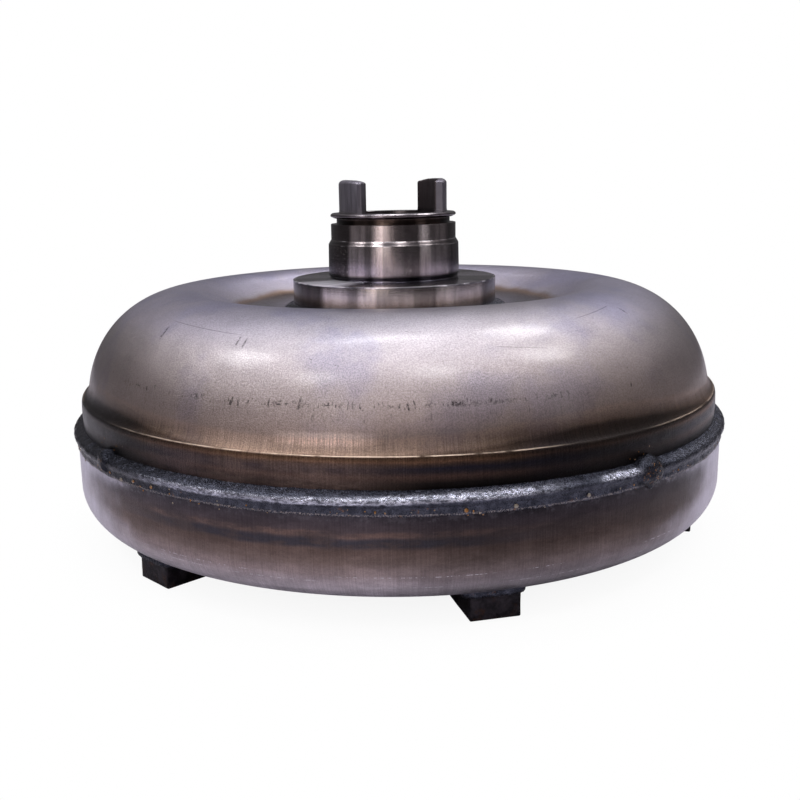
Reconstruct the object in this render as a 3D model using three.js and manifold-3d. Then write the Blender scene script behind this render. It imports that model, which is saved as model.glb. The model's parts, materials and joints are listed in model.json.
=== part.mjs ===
// Torque converter with lock-up clutch, built as separate pieces. Millimetres, +Z up.
// The origin is on the rotation axis, in the plane of the six drive lug faces.
// The engine side is below (pilot and lugs), the pump hub with its two tangs is above.
import * as THREE from 'three';
import { mergeVertices } from 'three/addons/utils/BufferGeometryUtils.js';
import Module from 'manifold-3d';

const wasm = await Module();
wasm.setup();

// Driving dimensions, in millimetres and degrees.
const GAP = 0.3;
const SHELL_SEGMENTS = 32;
const HUB_SEGMENTS = 28;
const INNER_SEGMENTS = 24;
const SMALL_SEGMENTS = 16;

const COVER_RADIUS = 153.7;
const COVER_WALL = 5;
const COVER_DISH_RADIUS = 80;
const COVER_FACE_INNER_RADIUS = 92;
const COVER_FACE_Z = 10.3;
const COVER_DISH_Z = 15;
const COVER_CORNER_RADIUS = 17.7;
const COVER_RIM_Z = 51;
const RIM_SEAT_RADIUS = 151.3;
const RIM_SEAT_Z = 43;
const PILOT_HOLE_RADIUS = 24.3;

const PILOT_RADIUS = 20;
const PILOT_LOW_Z = 2.5;
const PILOT_FLANGE_RADIUS = 24;
const PILOT_FLANGE_Z = 13;
const PILOT_SPIGOT_RADIUS = 12;
const PILOT_TOP_Z = 29;

const LUG_COUNT = 6;
const LUG_OUTER_RADIUS = 143;
const LUG_INNER_RADIUS = 118;
const LUG_WIDTH = 20.3;
const LUG_HOLE_RADIUS = 5.1;
const LUG_HOLE_CIRCLE_RADIUS = 131;
const LUG_START_ANGLE = -90;

const SKIRT_RADIUS = 150.8;
const SKIRT_LOW_Z = 45.5;
const SKIRT_INNER_RADIUS = 147.2;
const SKIRT_INNER_TOP_Z = 62;
const SHELL_WALL = 4;
const RIDGE_RADIUS = 150;
const RIDGE_Z = 67.3;
const TORUS_RADIUS = 98.7;
const TORUS_Z = 64.3;
const TORUS_TUBE = 49;
const CREST_INNER_ARC = 30;
const RECESS_FLOOR_Z = 102.5;
const RECESS_FILLET = 10;
const RECESS_FILLET_RADIUS = 71.4;
const SHELL_BORE_RADIUS = 42;

const WELD_RADIUS = 155.2;
const WELD_LOW_Z = 46.4;
const WELD_HIGH_Z = 55.4;

const HUB_BORE_RADIUS = 21.5;
const HUB_SPIGOT_RADIUS = 41.7;
const HUB_BOTTOM_Z = 91.4;
const HUB_FLANGE_RADIUS = 48.76;
const HUB_FLANGE_TOP_Z = 115.9;
const HUB_WELD_RADIUS = 54;
const NECK_RADIUS = 31.4;
const NECK_TOP_Z = 132.4;
const JOURNAL_RADIUS = 30;
const JOURNAL_LOW_Z = 134.6;
const JOURNAL_TOP_Z = 141.85;
const GROOVE_RADIUS = 27.2;
const COLLAR_LOW_Z = 144.4;
const COLLAR_TOP_Z = 146.9;
const TANG_OUTER_RADIUS = 25.8;
const TANG_TOP_Z = 162.3;
const TANG_ANGLE = 1.3;
const TANG_HALF_WIDTH = 37;

const VANE_THICKNESS = 1.2;
const IMPELLER_VANES = 12;
const TURBINE_VANES = 11;
const CORE_RADIUS = 17;
const CORE_WALL = 1.6;
const IMPELLER_CORE_Z = 66;
const TURBINE_CORE_Z = 65;

const TURBINE_WALL = 2.5;
const TURBINE_CENTRE_Z = 64.5;
const TURBINE_HALF_WIDTH = 44;
const TURBINE_DEPTH = 36.5;
const TURBINE_FLANGE_Z = 42.3;
const TURBINE_HUB_RADIUS = 30;
const TURBINE_HUB_TOP_Z = 44.6;
const TURBINE_HUB_LOW_Z = 22.6;
const TURBINE_SPLINE_RADIUS = 13;
const RIVET_CIRCLE_RADIUS = 40;
const RIVET_COUNT = 6;
const RIVET_RADIUS = 2.4;
const RIVET_HOLE_RADIUS = 2.8;
const RIVET_HEAD_RADIUS = 3.6;

const SPRING_COUNT = 4;
const SPRING_CIRCLE_RADIUS = 54;
const SPRING_OUTER_RADIUS = 5;
const SPRING_WIRE_RADIUS = 0.95;
const SPRING_LENGTH = 36;
const SPRING_Z = 33.7;
const SPRING_TURNS = 4;
const DAMPER_TRAVEL = 6;
const HUB_PLATE_WINDOW_HALF = 5.4;
const RETAINER_WINDOW_HALF = 4.7;
const RETAINER_THICKNESS = 1.6;
const RETAINER_BORE_RADIUS = 46.5;
const STOP_PIN_RADIUS = 2.5;
const STOP_PIN_OFFSET = 45;
const PISTON_TAB_ANGLE = 45;

const PISTON_BORE_RADIUS = 30.5;
const PISTON_RADIUS = 140;
const PISTON_WALL = 3;
const PISTON_LOW_Z = 18.6;
const LINING_THICKNESS = 1.3;

const STATOR_HUB_RADIUS = 50;
const STATOR_HUB_LOW_Z = 50.5;
const STATOR_HUB_TOP_Z = 86.5;
const STATOR_BORE_RADIUS = 40.3;
const STATOR_SHROUD_RADIUS = 79.8;
const STATOR_BLADES = 10;
const RACE_BORE_RADIUS = 20;
const RACE_RADIUS = 26;
const ROLLER_COUNT = 8;
const ROLLER_RADIUS = 3.3;
const ROLLER_CIRCLE_RADIUS = 29.65;

const BUSHING_BORE_RADIUS = 26.6;
const BUSHING_RADIUS = 39.9;
const LOWER_WASHER = [18, 33];
const UPPER_WASHER = [24, 36];

const radians = THREE.MathUtils.degToRad;

// Shape helpers.

// Points on an arc in the (radius, height) plane.
function arc(centreR, centreZ, radius, fromDeg, toDeg, steps, depth = radius) {
  const points = [];
  for (let i = 0; i <= steps; i += 1) {
    const angle = radians(fromDeg + ((toDeg - fromDeg) * i) / steps);
    points.push([centreR + radius * Math.cos(angle), centreZ + depth * Math.sin(angle)]);
  }
  return points;
}

function signedArea(points) {
  let sum = 0;
  points.forEach(([r, z], i) => {
    const [nextR, nextZ] = points[(i + 1) % points.length];
    sum += r * nextZ - nextR * z;
  });
  return sum / 2;
}

// A turned piece: the closed (radius, height) outline swept round the Z axis.
function turned(outline, segments) {
  const ordered = signedArea(outline) < 0 ? [...outline].reverse() : [...outline];
  const closed = [...ordered, ordered[0]];
  const geometry = new THREE.LatheGeometry(closed.map(([r, z]) => new THREE.Vector2(r, z)), segments);
  return geometry.rotateX(Math.PI / 2);
}

function ring(innerRadius, outerRadius, lowZ, highZ, segments) {
  const outline = [[innerRadius, lowZ], [outerRadius, lowZ], [outerRadius, highZ], [innerRadius, highZ]];
  return turned(outline, segments);
}

function rod(radius, lowZ, highZ, segments) {
  return new THREE.CylinderGeometry(radius, radius, highZ - lowZ, segments)
    .rotateX(Math.PI / 2)
    .translate(0, 0, (lowZ + highZ) / 2);
}

function extruded(shape, lowZ, height, options = {}) {
  return new THREE.ExtrudeGeometry(shape, { depth: height, bevelEnabled: false, ...options })
    .translate(0, 0, lowZ);
}

// Moves a piece made at the origin out to a radius, and turns it round the axis.
function placedRound(geometry, radius, angleDeg) {
  return geometry.translate(radius, 0, 0).rotateZ(radians(angleDeg));
}

function evenAngles(count, start = 0) {
  return Array.from({ length: count }, (_, i) => start + (360 * i) / count);
}

// A closed mesh as a solid that can be joined and cut.
function solid(geometry) {
  const bare = geometry.index ? geometry.toNonIndexed() : geometry;
  bare.deleteAttribute('normal');
  bare.deleteAttribute('uv');
  const merged = mergeVertices(bare, 1e-4);
  const index = merged.index.array;
  const triangles = [];
  for (let i = 0; i < index.length; i += 3) {
    const [a, b, c] = [index[i], index[i + 1], index[i + 2]];
    if (a !== b && b !== c && c !== a) {
      triangles.push(a, b, c);
    }
  }
  return new wasm.Manifold(new wasm.Mesh({
    numProp: 3,
    vertProperties: new Float32Array(merged.attributes.position.array),
    triVerts: new Uint32Array(triangles),
  }));
}

function joined(geometries) {
  return geometries.map(solid).reduce((whole, piece) => whole.add(piece));
}

function geometryOf(manifold) {
  const mesh = manifold.getMesh();
  const geometry = new THREE.BufferGeometry();
  geometry.setAttribute('position', new THREE.BufferAttribute(new Float32Array(mesh.vertProperties), 3));
  geometry.setIndex(new THREE.BufferAttribute(new Uint32Array(mesh.triVerts), 1));
  geometry.computeVertexNormals();
  return geometry;
}

function polygon(points) {
  return new THREE.Shape(points.map(([x, y]) => new THREE.Vector2(x, y)));
}

function circlePoints(radius, count, turnDeg = 0) {
  return evenAngles(count, turnDeg).map((deg) => {
    return [radius * Math.cos(radians(deg)), radius * Math.sin(radians(deg))];
  });
}

// A band between two radii and two angles, as an outline seen along the axis.
function sectorPoints(innerRadius, outerRadius, fromDeg, toDeg, steps) {
  const outer = arc(0, 0, outerRadius, fromDeg, toDeg, steps);
  const inner = arc(0, 0, innerRadius, toDeg, fromDeg, steps);
  return [...outer, ...inner];
}

// Internal spline: the outline steps between the tip and root radii.
function splinePoints(tipRadius, rootRadius, teeth) {
  const pitch = 360 / teeth;
  return evenAngles(teeth).flatMap((deg) => [
    [tipRadius, deg - 0.25 * pitch],
    [tipRadius, deg + 0.15 * pitch],
    [rootRadius, deg + 0.25 * pitch],
    [rootRadius, deg + 0.65 * pitch],
  ]).map(([radius, deg]) => [radius * Math.cos(radians(deg)), radius * Math.sin(radians(deg))]);
}

// Materials.
const steel = (color, roughness) => new THREE.MeshStandardMaterial({ color, roughness, metalness: 0.9 });
const shellSteel = steel(0x8b8189, 0.42);
const coverSteel = steel(0x76727f, 0.45);
const weldMetal = steel(0x1b1d24, 0.55);
const lugSteel = steel(0x2a2625, 0.6);
const machinedSteel = steel(0x9d9792, 0.28);
const stampedSteel = steel(0x807a76, 0.45);
const hardSteel = steel(0xa9a9ab, 0.22);
const springSteel = steel(0x4d4a48, 0.4);
const castAluminium = new THREE.MeshStandardMaterial({ color: 0xb9babd, roughness: 0.55, metalness: 0.8 });
const bronze = new THREE.MeshStandardMaterial({ color: 0x9c7443, roughness: 0.45, metalness: 0.85 });
const paperLining = new THREE.MeshStandardMaterial({ color: 0x4a3526, roughness: 0.95, metalness: 0 });
const sealRubber = new THREE.MeshStandardMaterial({ color: 0x17181a, roughness: 0.8, metalness: 0 });

const converter = new THREE.Group();

function addPiece(name, geometry, material) {
  const piece = new THREE.Mesh(geometry, material);
  piece.name = name;
  converter.add(piece);
}

// Housing.

function frontCover() {
  const cornerR = COVER_RADIUS - COVER_CORNER_RADIUS;
  const cornerZ = COVER_FACE_Z + COVER_CORNER_RADIUS;
  const innerCorner = COVER_CORNER_RADIUS - COVER_WALL;
  const innerWall = COVER_RADIUS - COVER_WALL;
  const outline = [
    [PILOT_HOLE_RADIUS, COVER_DISH_Z],
    [COVER_DISH_RADIUS, COVER_DISH_Z],
    [COVER_FACE_INNER_RADIUS, COVER_FACE_Z],
    ...arc(cornerR, cornerZ, COVER_CORNER_RADIUS, -90, 0, 5),
    [COVER_RADIUS, COVER_RIM_Z],
    [RIM_SEAT_RADIUS, COVER_RIM_Z],
    [RIM_SEAT_RADIUS, RIM_SEAT_Z],
    [innerWall, RIM_SEAT_Z],
    ...arc(cornerR, cornerZ, innerCorner, 0, -90, 3),
    [COVER_FACE_INNER_RADIUS, COVER_FACE_Z + COVER_WALL],
    [COVER_DISH_RADIUS, COVER_DISH_Z + COVER_WALL],
    [PILOT_HOLE_RADIUS, COVER_DISH_Z + COVER_WALL],
  ];
  return turned(outline, SHELL_SEGMENTS);
}

function crankPilot() {
  const chamfer = 2;
  const innerZ = COVER_DISH_Z + COVER_WALL;
  const outline = [
    [0, PILOT_LOW_Z],
    [PILOT_RADIUS - chamfer, PILOT_LOW_Z],
    [PILOT_RADIUS, PILOT_LOW_Z + chamfer],
    [PILOT_RADIUS, PILOT_FLANGE_Z],
    [PILOT_FLANGE_RADIUS, PILOT_FLANGE_Z],
    [PILOT_FLANGE_RADIUS, innerZ],
    [PILOT_SPIGOT_RADIUS, innerZ],
    [PILOT_SPIGOT_RADIUS, PILOT_TOP_Z],
    [0, PILOT_TOP_Z],
  ];
  const points = outline.map(([r, z]) => new THREE.Vector2(r, z));
  const geometry = new THREE.LatheGeometry(points, SMALL_SEGMENTS);
  return geometryOf(solid(geometry.rotateX(Math.PI / 2)));
}

function driveLug(angleDeg) {
  const seatZ = COVER_FACE_Z - 0.4;
  const outline = [
    [LUG_INNER_RADIUS, 0], [LUG_OUTER_RADIUS, 0], [LUG_OUTER_RADIUS, seatZ + 1.1],
    [LUG_OUTER_RADIUS - 3, seatZ + 0.3], [LUG_OUTER_RADIUS - 7, seatZ], [LUG_INNER_RADIUS, seatZ],
  ];
  const block = extruded(polygon(outline), -LUG_WIDTH / 2, LUG_WIDTH).rotateX(Math.PI / 2);
  const hole = rod(LUG_HOLE_RADIUS, -1, COVER_FACE_Z + 1, SMALL_SEGMENTS)
    .translate(LUG_HOLE_CIRCLE_RADIUS, 0, 0);
  return geometryOf(solid(block).subtract(solid(hole))).rotateZ(radians(angleDeg));
}

function shellWeld() {
  const outline = [
    [COVER_RADIUS + GAP, WELD_LOW_Z], [WELD_RADIUS - 0.5, WELD_LOW_Z + 2],
    [WELD_RADIUS, WELD_HIGH_Z - 2.6], [WELD_RADIUS - 1.6, WELD_HIGH_Z],
    [SKIRT_RADIUS + GAP, WELD_HIGH_Z], [SKIRT_RADIUS + GAP, COVER_RIM_Z + GAP],
    [COVER_RADIUS + GAP, COVER_RIM_Z + GAP],
  ];
  return turned(outline, SHELL_SEGMENTS);
}

// The pressed shell is made of three rings: the outer dome, the wall that falls to the hub, and
// the flat floor round the hub.
function impellerShell() {
  const outline = [
    [SKIRT_RADIUS, SKIRT_LOW_Z],
    [SKIRT_RADIUS, RIDGE_Z - 1.5],
    [RIDGE_RADIUS, RIDGE_Z],
    [RIDGE_RADIUS - 2.1, RIDGE_Z + 2.7],
    ...arc(TORUS_RADIUS, TORUS_Z, TORUS_TUBE, 10.5, 90, 6),
    ...arc(TORUS_RADIUS, TORUS_Z, TORUS_TUBE - SHELL_WALL, 90, 3, 5),
    [SKIRT_INNER_RADIUS, SKIRT_INNER_TOP_Z],
    [SKIRT_INNER_RADIUS, SKIRT_LOW_Z],
  ];
  return turned(outline, SHELL_SEGMENTS);
}

function recessWall() {
  const startRadius = TORUS_RADIUS - GAP;
  const crestZ = TORUS_Z + TORUS_TUBE;
  const convexZ = crestZ - CREST_INNER_ARC;
  const filletZ = RECESS_FLOOR_Z + RECESS_FILLET;
  const outline = [
    [startRadius, crestZ],
    ...arc(TORUS_RADIUS, convexZ, CREST_INNER_ARC, 112, 133, 1),
    ...arc(RECESS_FILLET_RADIUS, filletZ, RECESS_FILLET, -47, -90, 2),
    ...arc(RECESS_FILLET_RADIUS, filletZ, RECESS_FILLET + SHELL_WALL, -90, -47, 1),
    ...arc(TORUS_RADIUS, convexZ, CREST_INNER_ARC - SHELL_WALL, 118, 108, 1),
    [startRadius, crestZ - SHELL_WALL],
  ];
  return turned(outline, SHELL_SEGMENTS);
}

function recessFloor() {
  const outerRadius = RECESS_FILLET_RADIUS - GAP;
  return ring(SHELL_BORE_RADIUS, outerRadius, RECESS_FLOOR_Z - SHELL_WALL, RECESS_FLOOR_Z, SHELL_SEGMENTS);
}

function vanePlates(outline, count) {
  return evenAngles(count).map((deg) => {
    return extruded(polygon(outline), -VANE_THICKNESS / 2, VANE_THICKNESS)
      .rotateX(Math.PI / 2)
      .rotateZ(radians(deg));
  });
}

// A half-round core ring that closes the middle of the flow circuit on one side.
function coreRing(centreZ, fromDeg, toDeg) {
  const outline = [
    ...arc(TORUS_RADIUS, centreZ, CORE_RADIUS, fromDeg, toDeg, 3),
    ...arc(TORUS_RADIUS, centreZ, CORE_RADIUS - CORE_WALL, toDeg, fromDeg, 3),
  ];
  return turned(outline, INNER_SEGMENTS);
}

function impellerVanes() {
  const tube = TORUS_TUBE - SHELL_WALL - 1.5;
  const outline = [
    ...arc(TORUS_RADIUS, TORUS_Z, tube, 5, 88, 4),
    [82, 101.2], [72, 97.6], [64, 97.4], [66, 82], [82, 79],
    ...arc(TORUS_RADIUS, IMPELLER_CORE_Z, CORE_RADIUS - CORE_WALL / 2, 160, 8, 3),
  ];
  return geometryOf(joined([coreRing(IMPELLER_CORE_Z, 6, 174), ...vanePlates(outline, IMPELLER_VANES)]));
}

function pumpHub() {
  const outline = [
    [HUB_BORE_RADIUS, HUB_BOTTOM_Z],
    [HUB_SPIGOT_RADIUS, HUB_BOTTOM_Z],
    [HUB_SPIGOT_RADIUS, RECESS_FLOOR_Z + GAP],
    [HUB_FLANGE_RADIUS, RECESS_FLOOR_Z + GAP],
    [HUB_FLANGE_RADIUS, HUB_FLANGE_TOP_Z],
    [NECK_RADIUS + 1.6, HUB_FLANGE_TOP_Z],
    [NECK_RADIUS, HUB_FLANGE_TOP_Z + 1.5],
    [NECK_RADIUS - 0.2, NECK_TOP_Z],
    [JOURNAL_RADIUS, JOURNAL_LOW_Z],
    [JOURNAL_RADIUS, JOURNAL_TOP_Z],
    [GROOVE_RADIUS, JOURNAL_TOP_Z],
    [GROOVE_RADIUS, COLLAR_LOW_Z],
    [JOURNAL_RADIUS, COLLAR_LOW_Z],
    [JOURNAL_RADIUS, COLLAR_TOP_Z - 0.6],
    [JOURNAL_RADIUS - 0.8, COLLAR_TOP_Z],
    [HUB_BORE_RADIUS, COLLAR_TOP_Z],
  ];
  const body = turned(outline, HUB_SEGMENTS);
  const tangFootZ = COLLAR_TOP_Z - 2;
  const chamfer = {
    bevelEnabled: true, bevelSegments: 1, bevelSize: 1, bevelOffset: -1, bevelThickness: 1.4,
  };
  const tangs = evenAngles(2, TANG_ANGLE).map((deg) => {
    const from = deg - TANG_HALF_WIDTH;
    const to = deg + TANG_HALF_WIDTH;
    const points = sectorPoints(HUB_BORE_RADIUS, TANG_OUTER_RADIUS, from, to, 7);
    const straight = TANG_TOP_Z - tangFootZ - chamfer.bevelThickness;
    return extruded(polygon(points), tangFootZ, straight, chamfer);
  });
  return geometryOf(joined([body, ...tangs]));
}

function hubWeld() {
  const innerRadius = HUB_FLANGE_RADIUS + GAP;
  const floorZ = RECESS_FLOOR_Z + GAP;
  const outline = [
    [innerRadius, floorZ],
    [HUB_WELD_RADIUS, floorZ],
    [HUB_WELD_RADIUS - 2, floorZ + 2.6],
    [innerRadius, floorZ + 5],
  ];
  return turned(outline, HUB_SEGMENTS);
}

// Turbine.

function rivetHoles() {
  return evenAngles(RIVET_COUNT).map((deg) => {
    return placedRound(rod(RIVET_HOLE_RADIUS, 36, 47, 8), RIVET_CIRCLE_RADIUS, deg);
  });
}

function turbineShell() {
  const innerWidth = TURBINE_HALF_WIDTH - TURBINE_WALL;
  const innerDepth = TURBINE_DEPTH - TURBINE_WALL;
  const boreRadius = TURBINE_HUB_RADIUS + 4.3;
  const outline = [
    ...arc(TORUS_RADIUS, TURBINE_CENTRE_Z, TURBINE_HALF_WIDTH, -1, -142.5, 6, TURBINE_DEPTH),
    [boreRadius, TURBINE_FLANGE_Z],
    [boreRadius, TURBINE_FLANGE_Z + TURBINE_WALL],
    ...arc(TORUS_RADIUS, TURBINE_CENTRE_Z, innerWidth, -144.6, -1, 6, innerDepth),
  ];
  return geometryOf(solid(turned(outline, INNER_SEGMENTS)).subtract(joined(rivetHoles())));
}

function turbineVanes() {
  const width = TURBINE_HALF_WIDTH - TURBINE_WALL - 1.9;
  const depth = TURBINE_DEPTH - TURBINE_WALL - 1.9;
  const outline = [
    ...arc(TORUS_RADIUS, TURBINE_CENTRE_Z, width, -3, -138, 4, depth),
    [69.5, 47], [82, 54.5],
    ...arc(TORUS_RADIUS, TURBINE_CORE_Z, CORE_RADIUS - CORE_WALL / 2, -160, -8, 3),
  ];
  return geometryOf(joined([coreRing(TURBINE_CORE_Z, -174, -6), ...vanePlates(outline, TURBINE_VANES)]));
}

function turbineHub() {
  const flangeLowZ = 38.6;
  const flangeHighZ = TURBINE_FLANGE_Z - GAP;
  const outline = [
    [TURBINE_SPLINE_RADIUS - 1, TURBINE_HUB_LOW_Z], [TURBINE_HUB_RADIUS, TURBINE_HUB_LOW_Z],
    [TURBINE_HUB_RADIUS, 24.2], [28.2, 24.2], [28.2, 26.6], [TURBINE_HUB_RADIUS, 26.6],
    [TURBINE_HUB_RADIUS, flangeLowZ], [46, flangeLowZ], [46, flangeHighZ],
    [TURBINE_HUB_RADIUS + 4, flangeHighZ], [TURBINE_HUB_RADIUS + 4, TURBINE_HUB_TOP_Z],
    [TURBINE_SPLINE_RADIUS - 1, TURBINE_HUB_TOP_Z],
  ];
  const spline = splinePoints(TURBINE_SPLINE_RADIUS, TURBINE_SPLINE_RADIUS + 1.4, 10);
  const bore = extruded(polygon(spline), TURBINE_HUB_LOW_Z - 2, 30);
  const cuts = joined([bore, ...rivetHoles()]);
  return geometryOf(solid(turned(outline, INNER_SEGMENTS)).subtract(cuts));
}

function turbineRivet(angleDeg) {
  const shank = rod(RIVET_RADIUS, 37, 46.4, 8);
  const lowHead = rod(RIVET_HEAD_RADIUS, 36.8, 38.3, 8);
  const highHead = rod(RIVET_HEAD_RADIUS, TURBINE_FLANGE_Z + TURBINE_WALL + GAP, 46.6, 8);
  return placedRound(geometryOf(joined([shank, lowHead, highHead])), RIVET_CIRCLE_RADIUS, angleDeg);
}

// Lock-up clutch and torsional damper.

// A flat damper plate with a window for each spring and slots or holes for the stop pins.
function damperPlate(innerRadius, outerOutline, lowZ, thickness, windowHalf, windowLength, slotHalfDeg) {
  const plate = polygon(outerOutline);
  plate.holes.push(new THREE.Path(polygon(circlePoints(innerRadius, INNER_SEGMENTS)).getPoints()));
  const cuts = evenAngles(SPRING_COUNT).flatMap((deg) => {
    const window = new THREE.BoxGeometry(2 * windowHalf, windowLength, 3 * thickness);
    const reach = STOP_PIN_RADIUS + GAP;
    const slot = polygon(sectorPoints(
      SPRING_CIRCLE_RADIUS - reach, SPRING_CIRCLE_RADIUS + reach,
      deg + STOP_PIN_OFFSET - slotHalfDeg, deg + STOP_PIN_OFFSET + slotHalfDeg, 3,
    ));
    return [
      placedRound(window.translate(0, 0, lowZ), SPRING_CIRCLE_RADIUS, deg),
      extruded(slot, lowZ - thickness, 3 * thickness),
    ];
  });
  return geometryOf(solid(extruded(plate, lowZ, thickness)).subtract(joined(cuts)));
}

const PIN_HALF_DEG = THREE.MathUtils.radToDeg((STOP_PIN_RADIUS + GAP) / SPRING_CIRCLE_RADIUS);

function damperHubPlate() {
  const outer = circlePoints(64, INNER_SEGMENTS);
  const slotHalf = DAMPER_TRAVEL + PIN_HALF_DEG;
  const bore = TURBINE_HUB_RADIUS + GAP;
  return damperPlate(bore, outer, 32.2, 3, HUB_PLATE_WINDOW_HALF, SPRING_LENGTH + 1, slotHalf);
}

function retainer(outer, lowZ) {
  const windowLength = SPRING_LENGTH + 1;
  return damperPlate(
    RETAINER_BORE_RADIUS, outer, lowZ, RETAINER_THICKNESS, RETAINER_WINDOW_HALF, windowLength, PIN_HALF_DEG,
  );
}

function upperRetainer() {
  const outer = circlePoints(65, INNER_SEGMENTS);
  return retainer(outer, 36.4);
}

// The lower plate carries notches in its rim, which the piston's tabs slide in.
function lowerRetainer() {
  const notched = evenAngles(SPRING_COUNT, PISTON_TAB_ANGLE).flatMap((deg) => [
    ...arc(0, 0, 69.4, deg - 4.4, deg + 4.4, 1),
    ...arc(0, 0, 76, deg + 4.4, deg + 85.6, 6),
  ]);
  return retainer(notched, 29.4);
}

function stopPin(angleDeg) {
  const shank = rod(STOP_PIN_RADIUS - 0.2, 29.2, 38.2, 10);
  return placedRound(shank, SPRING_CIRCLE_RADIUS, angleDeg);
}

// The centre line of a coil spring that lies along the turning direction.
class SpringLine extends THREE.Curve {
  getPoint(t) {
    const coilRadius = SPRING_OUTER_RADIUS - SPRING_WIRE_RADIUS;
    const angle = 2 * Math.PI * SPRING_TURNS * t;
    const along = (t - 0.5) * (SPRING_LENGTH - 2 * SPRING_WIRE_RADIUS);
    return new THREE.Vector3(coilRadius * Math.cos(angle), along, coilRadius * Math.sin(angle));
  }
}

function damperSpring(angleDeg) {
  const wire = polygon(circlePoints(SPRING_WIRE_RADIUS, 5));
  const coil = new THREE.ExtrudeGeometry(wire, {
    extrudePath: new SpringLine(), steps: SPRING_TURNS * 7, bevelEnabled: false,
  });
  return placedRound(coil.translate(0, 0, SPRING_Z), SPRING_CIRCLE_RADIUS, angleDeg);
}

function lockupPiston() {
  const innerZ = PISTON_LOW_Z + 4.4;
  const outline = [
    [PISTON_BORE_RADIUS, innerZ],
    [COVER_DISH_RADIUS, innerZ],
    [COVER_FACE_INNER_RADIUS, PISTON_LOW_Z],
    [PISTON_RADIUS, PISTON_LOW_Z],
    [PISTON_RADIUS + 1.5, PISTON_LOW_Z + 11],
    [PISTON_RADIUS - 1.5, PISTON_LOW_Z + 11],
    [PISTON_RADIUS - PISTON_WALL, PISTON_LOW_Z + PISTON_WALL],
    [COVER_FACE_INNER_RADIUS, PISTON_LOW_Z + PISTON_WALL],
    [COVER_DISH_RADIUS, innerZ + PISTON_WALL],
    [PISTON_BORE_RADIUS + PISTON_WALL, innerZ + PISTON_WALL],
    [PISTON_BORE_RADIUS + PISTON_WALL, innerZ + 5.2],
    [PISTON_BORE_RADIUS, innerZ + 5.2],
  ];
  const tabs = evenAngles(SPRING_COUNT, PISTON_TAB_ANGLE).map((deg) => {
    return placedRound(new THREE.BoxGeometry(4.6, 8.6, 7).translate(0, 0, innerZ + 5), 72.6, deg);
  });
  return geometryOf(joined([turned(outline, INNER_SEGMENTS), ...tabs]));
}

// Stator with its one-way clutch.

function statorWheel() {
  const grooveRadius = 41.7;
  const hub = turned([
    [STATOR_BORE_RADIUS, STATOR_HUB_LOW_Z],
    [STATOR_HUB_RADIUS, STATOR_HUB_LOW_Z],
    [STATOR_HUB_RADIUS, STATOR_HUB_TOP_Z],
    [STATOR_BORE_RADIUS, STATOR_HUB_TOP_Z],
    [STATOR_BORE_RADIUS, STATOR_HUB_TOP_Z - 0.4],
    [grooveRadius, STATOR_HUB_TOP_Z - 0.4],
    [grooveRadius, STATOR_HUB_TOP_Z - 2.5],
    [STATOR_BORE_RADIUS, STATOR_HUB_TOP_Z - 2.5],
  ], INNER_SEGMENTS);
  const shroud = ring(STATOR_SHROUD_RADIUS - 3, STATOR_SHROUD_RADIUS, 56.5, 77.5, INNER_SEGMENTS);
  const section = polygon([[-5.5, -9.5], [-2.6, -9.9], [0.4, -2], [4.6, 9.6], [3.4, 9.8], [-3.6, 1.5]]);
  const length = STATOR_SHROUD_RADIUS - 1.5 - (STATOR_HUB_RADIUS - 1.5);
  const blades = evenAngles(STATOR_BLADES).map((deg) => {
    return extruded(section, STATOR_HUB_RADIUS - 1.5, length)
      .applyMatrix4(new THREE.Matrix4().makeBasis(
        new THREE.Vector3(0, 1, 0), new THREE.Vector3(0, 0, 1), new THREE.Vector3(1, 0, 0),
      ))
      .translate(0, 0, 67)
      .rotateZ(radians(deg));
  });
  return geometryOf(joined([hub, shroud, ...blades]));
}

function clutchInnerRace() {
  const body = polygon(circlePoints(RACE_RADIUS, INNER_SEGMENTS));
  const spline = splinePoints(RACE_BORE_RADIUS, RACE_BORE_RADIUS + 1.3, 10);
  body.holes.push(new THREE.Path(polygon(spline).getPoints()));
  return extruded(body, 52, 28);
}

function clutchCage() {
  const pockets = evenAngles(ROLLER_COUNT).map((deg) => {
    return placedRound(rod(ROLLER_RADIUS + 0.4, 57.8, 74.2, 8), ROLLER_CIRCLE_RADIUS, deg);
  });
  const band = ring(27.2, 32.2, 56.4, 75.6, INNER_SEGMENTS);
  return geometryOf(solid(band).subtract(joined(pockets)));
}

// A thrust cage: a flat ring with radial needles, seen between two washers.
function needleCage(innerRadius, outerRadius, midZ, needleRadius) {
  const band = ring(innerRadius, outerRadius, midZ - 0.7, midZ + 0.7, SMALL_SEGMENTS);
  const length = outerRadius - innerRadius - 2;
  const needles = evenAngles(7).map((deg) => {
    const needle = new THREE.CylinderGeometry(needleRadius, needleRadius, length, 6).rotateZ(Math.PI / 2);
    return placedRound(needle.translate(0, 0, midZ), (innerRadius + outerRadius) / 2, deg);
  });
  return geometryOf(joined([band, ...needles]));
}

// Assembly: housing.
addPiece('front_cover', frontCover(), coverSteel);
addPiece('crank_pilot', crankPilot(), machinedSteel);
evenAngles(LUG_COUNT, LUG_START_ANGLE).forEach((deg, i) => {
  addPiece(`drive_lug_${i + 1}`, driveLug(deg), lugSteel);
});
addPiece('shell_weld', shellWeld(), weldMetal);
addPiece('impeller_shell', impellerShell(), shellSteel);
addPiece('shell_recess_wall', recessWall(), shellSteel);
addPiece('shell_recess_floor', recessFloor(), shellSteel);
addPiece('impeller_vanes', impellerVanes(), stampedSteel);
addPiece('pump_hub', pumpHub(), machinedSteel);
addPiece('hub_weld', hubWeld(), weldMetal);
addPiece('cover_thrust_washer', ring(15, 29, 20.3, 22.3, SMALL_SEGMENTS), bronze);

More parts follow.
